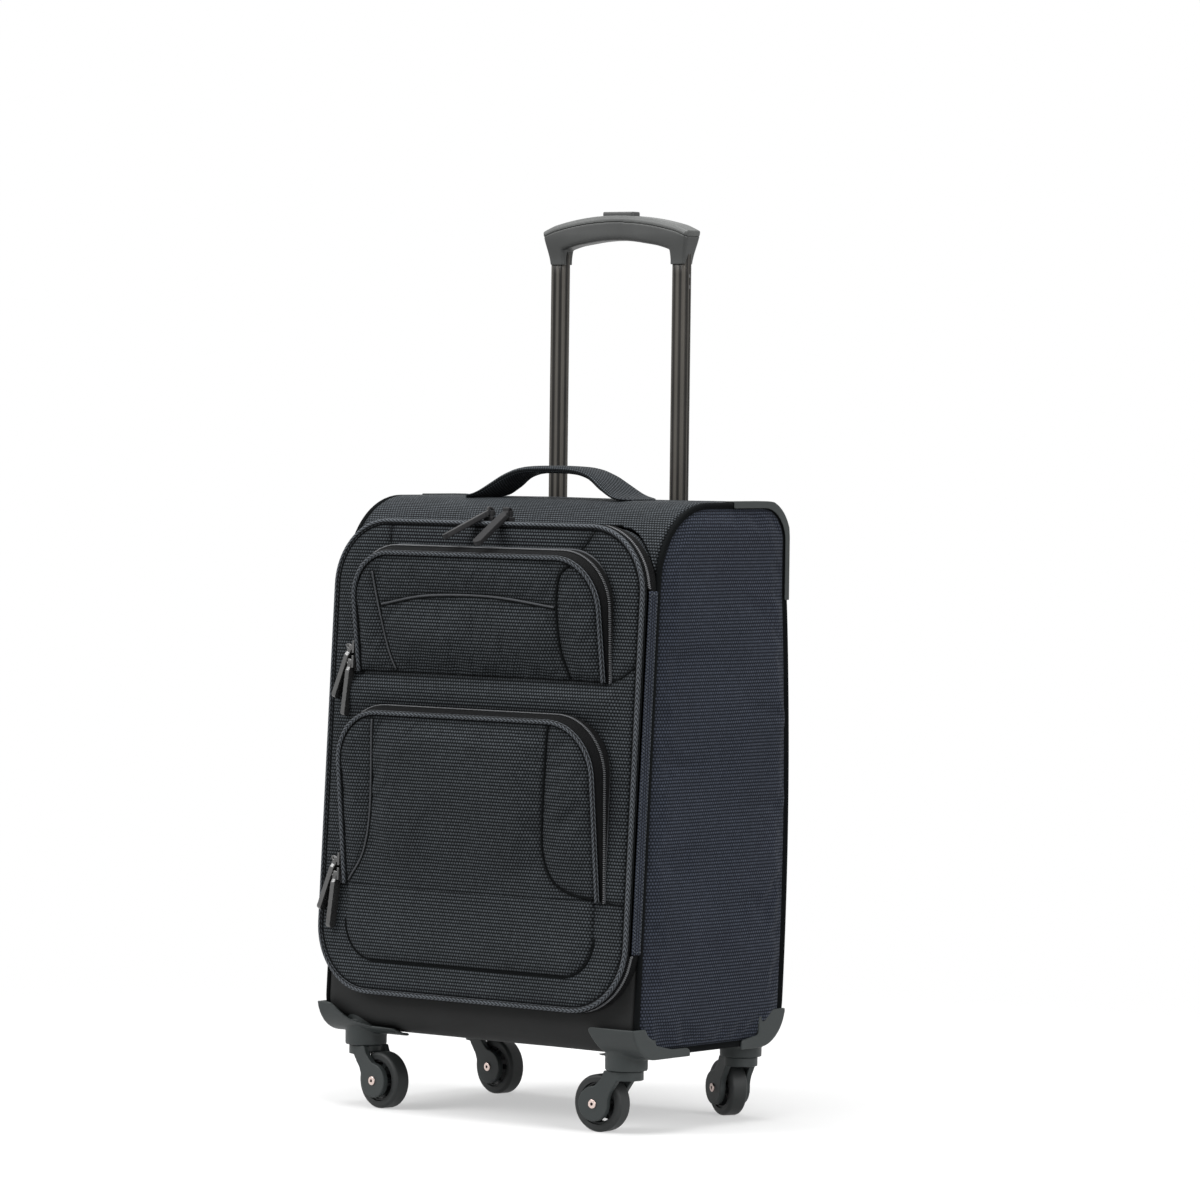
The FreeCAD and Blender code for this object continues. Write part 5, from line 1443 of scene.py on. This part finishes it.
class SUITCASE_OT_stage(bpy.types.Operator):
    """Sets the floor, the light and the camera"""

    bl_idname = "suitcase.stage"
    bl_label = "Stage"

    @staticmethod
    def floor():
        """Pale floor that fades out away from the case."""
        size = 1.6
        corners = [(-size, -size, 0), (size, -size, 0), (size, size, 0), (-size, size, 0)]
        mesh = bpy.data.meshes.new("floor")
        mesh.from_pydata(corners, [], [(0, 1, 2, 3)])
        floor = link(bpy.data.objects.new("floor", mesh))
        finish, build, shader = new_material("pale_floor")
        own = build.add("ShaderNodeTexCoord").outputs["Object"]
        reach = build.add("ShaderNodeVectorMath", {0: own}, operation="LENGTH").outputs["Value"]
        limits = {"Value": reach, "From Min": 0.35, "From Max": 1.2, "To Min": 0.55, "To Max": 0.0}
        fade = build.add("ShaderNodeMapRange", limits, interpolation_type="SMOOTHSTEP")
        build.link(fade.outputs[0], shader, "Alpha")
        shader.inputs["Base Color"].default_value = (0.9, 0.9, 0.9, 1)
        shader.inputs["Roughness"].default_value = 0.9
        shader.inputs["Specular IOR Level"].default_value = 0.1
        floor.data.materials.append(finish)

    @staticmethod
    def world(strength):
        """White background with a weaker even light from it."""
        world = bpy.data.worlds.new("studio")
        bpy.context.scene.world = world
        world.use_nodes = True
        world.node_tree.nodes.clear()
        build = Nodes(world.node_tree)
        path = build.add("ShaderNodeLightPath").outputs
        seen = build.math("MAXIMUM", path["Is Camera Ray"], path["Is Glossy Ray"])
        seen = build.math("MAXIMUM", seen, path["Is Transmission Ray"])
        level = build.math("MULTIPLY_ADD", seen, 1.0 - strength, strength)
        back = build.add("ShaderNodeBackground", {"Color": (1, 1, 1, 1), "Strength": level})
        build.add("ShaderNodeOutputWorld", {"Surface": back.outputs[0]})

    @staticmethod
    def light(name, place, power, size):
        """Square lamp aimed at the middle of the case."""
        middle = Vector((0, 0, 0.4))
        lamp = bpy.data.lights.new(name, "AREA")
        lamp.energy, lamp.size = power, size
        holder = link(bpy.data.objects.new(name, lamp))
        holder.location = place
        aim = middle - Vector(place)
        holder.rotation_euler = aim.to_track_quat("-Z", "Y").to_euler()

    @staticmethod
    def camera(place, focal_length):
        """Camera in front of the case, to its right, with a slight roll."""
        right = Vector((0.77624, 0.63031, 0.01263)).normalized()
        up = Vector((-0.03065, 0.01772, 0.99937)).normalized()
        turn = Matrix((right, up, right.cross(up).normalized())).transposed()
        lens = bpy.data.cameras.new("view")
        lens.lens = focal_length
        camera = link(bpy.data.objects.new("view", lens))
        camera.matrix_world = Matrix.Translation(Vector(place)) @ turn.to_4x4()
        bpy.context.scene.camera = camera

    def execute(self, context):
        stage = context.scene.suitcase_stage
        self.floor()
        self.world(stage.surround)
        self.light("key", (-2.2, -3.0, 3.0), stage.key_power, 2.4)
        self.light("side", (3.4, -0.6, 1.8), stage.side_power, 2.0)
        self.light("overhead", (0.2, -0.4, 3.4), stage.top_power, 2.2)
        self.camera(stage.camera_place, stage.focal_length)
        context.scene.view_settings.view_transform = "Standard"
        return {"FINISHED"}


# ---- settings ---------------------------------------------------------------------------------
def tint(name, description, colour):
    """Colour property."""
    return FloatVectorProperty(name=name, description=description, default=colour, size=3, subtype="COLOR",
                               min=0, max=1)


class SuitcaseFabric(bpy.types.PropertyGroup):
    """Colours and weave of the cloth"""

    thread: tint("Thread", "Raised threads of the front cloth", (0.076, 0.086, 0.096))
    gap: tint("Gap", "Shade between the threads", (0.0040, 0.0046, 0.0050))
    # Side thread and gap: the front cloth with a bluer painted sheen, for faces turned to the side
    side_sheen_thread: tint("Side Thread", "Raised threads of the side cloth", (0.055, 0.065, 0.090))
    side_sheen_gap: tint("Side Gap", "Shade between the threads of the side cloth", (0.0100, 0.0115, 0.0155))
    braid: tint("Braid", "Strands of the braided cords", (0.105, 0.116, 0.130))
    tape: tint("Tape", "Zip tape", (0.0085, 0.009, 0.010))
    lining: tint("Lining", "Inner lining", (0.045, 0.046, 0.048))
    pitch: FloatProperty(name="Pitch", description="Width of one woven cell", default=0.00285, unit="LENGTH")
    coil_pitch: FloatProperty(name="Coil Pitch", description="Spacing of the zip coil", default=0.0018,
                              unit="LENGTH")
    puff: FloatProperty(name="Puff", description="Stuffing of the flaps", default=0.003, unit="LENGTH")


class SuitcaseFinish(bpy.types.PropertyGroup):
    """Colours of the moulded and metal pieces"""

    smooth_cloth: tint("Smooth Cloth", "Plain cloth of the lower band", (0.0135, 0.0140, 0.0140))
    coil: tint("Coil", "Zip coil", (0.105, 0.108, 0.114))
    moulding: tint("Moulding", "Castings, forks and guards", (0.027, 0.032, 0.032))
    grip: tint("Grip", "Grip body and button", (0.054, 0.056, 0.055))
    grip_top: tint("Grip Top", "Grip cover", (0.090, 0.093, 0.091))
    slider: tint("Slider", "Zip sliders and pulls", (0.11, 0.11, 0.11))
    gunmetal: tint("Gunmetal", "Main zip sliders and pulls", (0.018, 0.018, 0.019))
    # Ridge: lighter colour over the raised seams, a painted highlight on the ridges
    ridge: tint("Ridge", "Plain cloth over the raised seams", (0.050, 0.053, 0.058))
    tube: tint("Tube", "Trolley tubes", (0.085, 0.079, 0.070))
    pull_size: FloatProperty(name="Pull Size", description="Size of the zip pulls over their CAD size",
                             default=1.28)
    pull_thickness: FloatProperty(name="Pull Thickness", description="Thickness of the pulls over CAD",
                                  default=1.8)
    rivet: tint("Rivet", "Wheel rivets", (0.62, 0.50, 0.46))
    tyre: tint("Tyre", "Tyres", (0.020, 0.022, 0.022))
    wheel: tint("Wheel", "Hubs", (0.016, 0.018, 0.019))


class SuitcaseStage(bpy.types.PropertyGroup):
    """Light and camera"""

    surround: FloatProperty(name="Surround", description="Strength of the even light", default=0.30)
    key_power: FloatProperty(name="Key", description="Power of the key light in watts", default=150)
    side_power: FloatProperty(name="Side", description="Power of the side light in watts", default=75)
    top_power: FloatProperty(name="Top", description="Power of the overhead light in watts", default=110)
    focal_length: FloatProperty(name="Focal Length", description="Lens in millimetres", default=182.3)
    camera_place: FloatVectorProperty(name="Camera", description="Place of the camera", unit="LENGTH",
                                      default=(3.40866, -4.13163, 0.63133))


PIECES = (SUITCASE_OT_case_fabric, SUITCASE_OT_lid_fabric, SUITCASE_OT_pockets, SUITCASE_OT_zips,
          SUITCASE_OT_handles, SUITCASE_OT_fittings, SUITCASE_OT_kept_finishes, SUITCASE_OT_stage)


class SUITCASE_PT_pieces(bpy.types.Panel):
    """Buttons for each group of pieces"""

    bl_label = "Suitcase"
    bl_space_type = "VIEW_3D"
    bl_region_type = "UI"
    bl_category = "Suitcase"

    def draw(self, context):
        for piece in PIECES:
            self.layout.operator(piece.bl_idname)


SETTINGS = {
    "suitcase_fabric": SuitcaseFabric,
    "suitcase_finish": SuitcaseFinish,
    "suitcase_stage": SuitcaseStage,
}


def register():
    """Register the settings, operators and panel."""
    for name, group in SETTINGS.items():
        bpy.utils.register_class(group)
        setattr(bpy.types.Scene, name, PointerProperty(type=group))
    for piece in (*PIECES, SUITCASE_PT_pieces):
        bpy.utils.register_class(piece)


def unregister():
    """Take everything back."""
    for piece in reversed((*PIECES, SUITCASE_PT_pieces)):
        bpy.utils.unregister_class(piece)
    for name, group in SETTINGS.items():
        delattr(bpy.types.Scene, name)
        bpy.utils.unregister_class(group)


def main():
    """Build every piece in order."""
    register()
    for piece in PIECES:
        group, operator = piece.bl_idname.split(".")
        getattr(getattr(bpy.ops, group), operator)()
    bpy.context.view_layer.update()


if __name__ == "__main__":
    main()
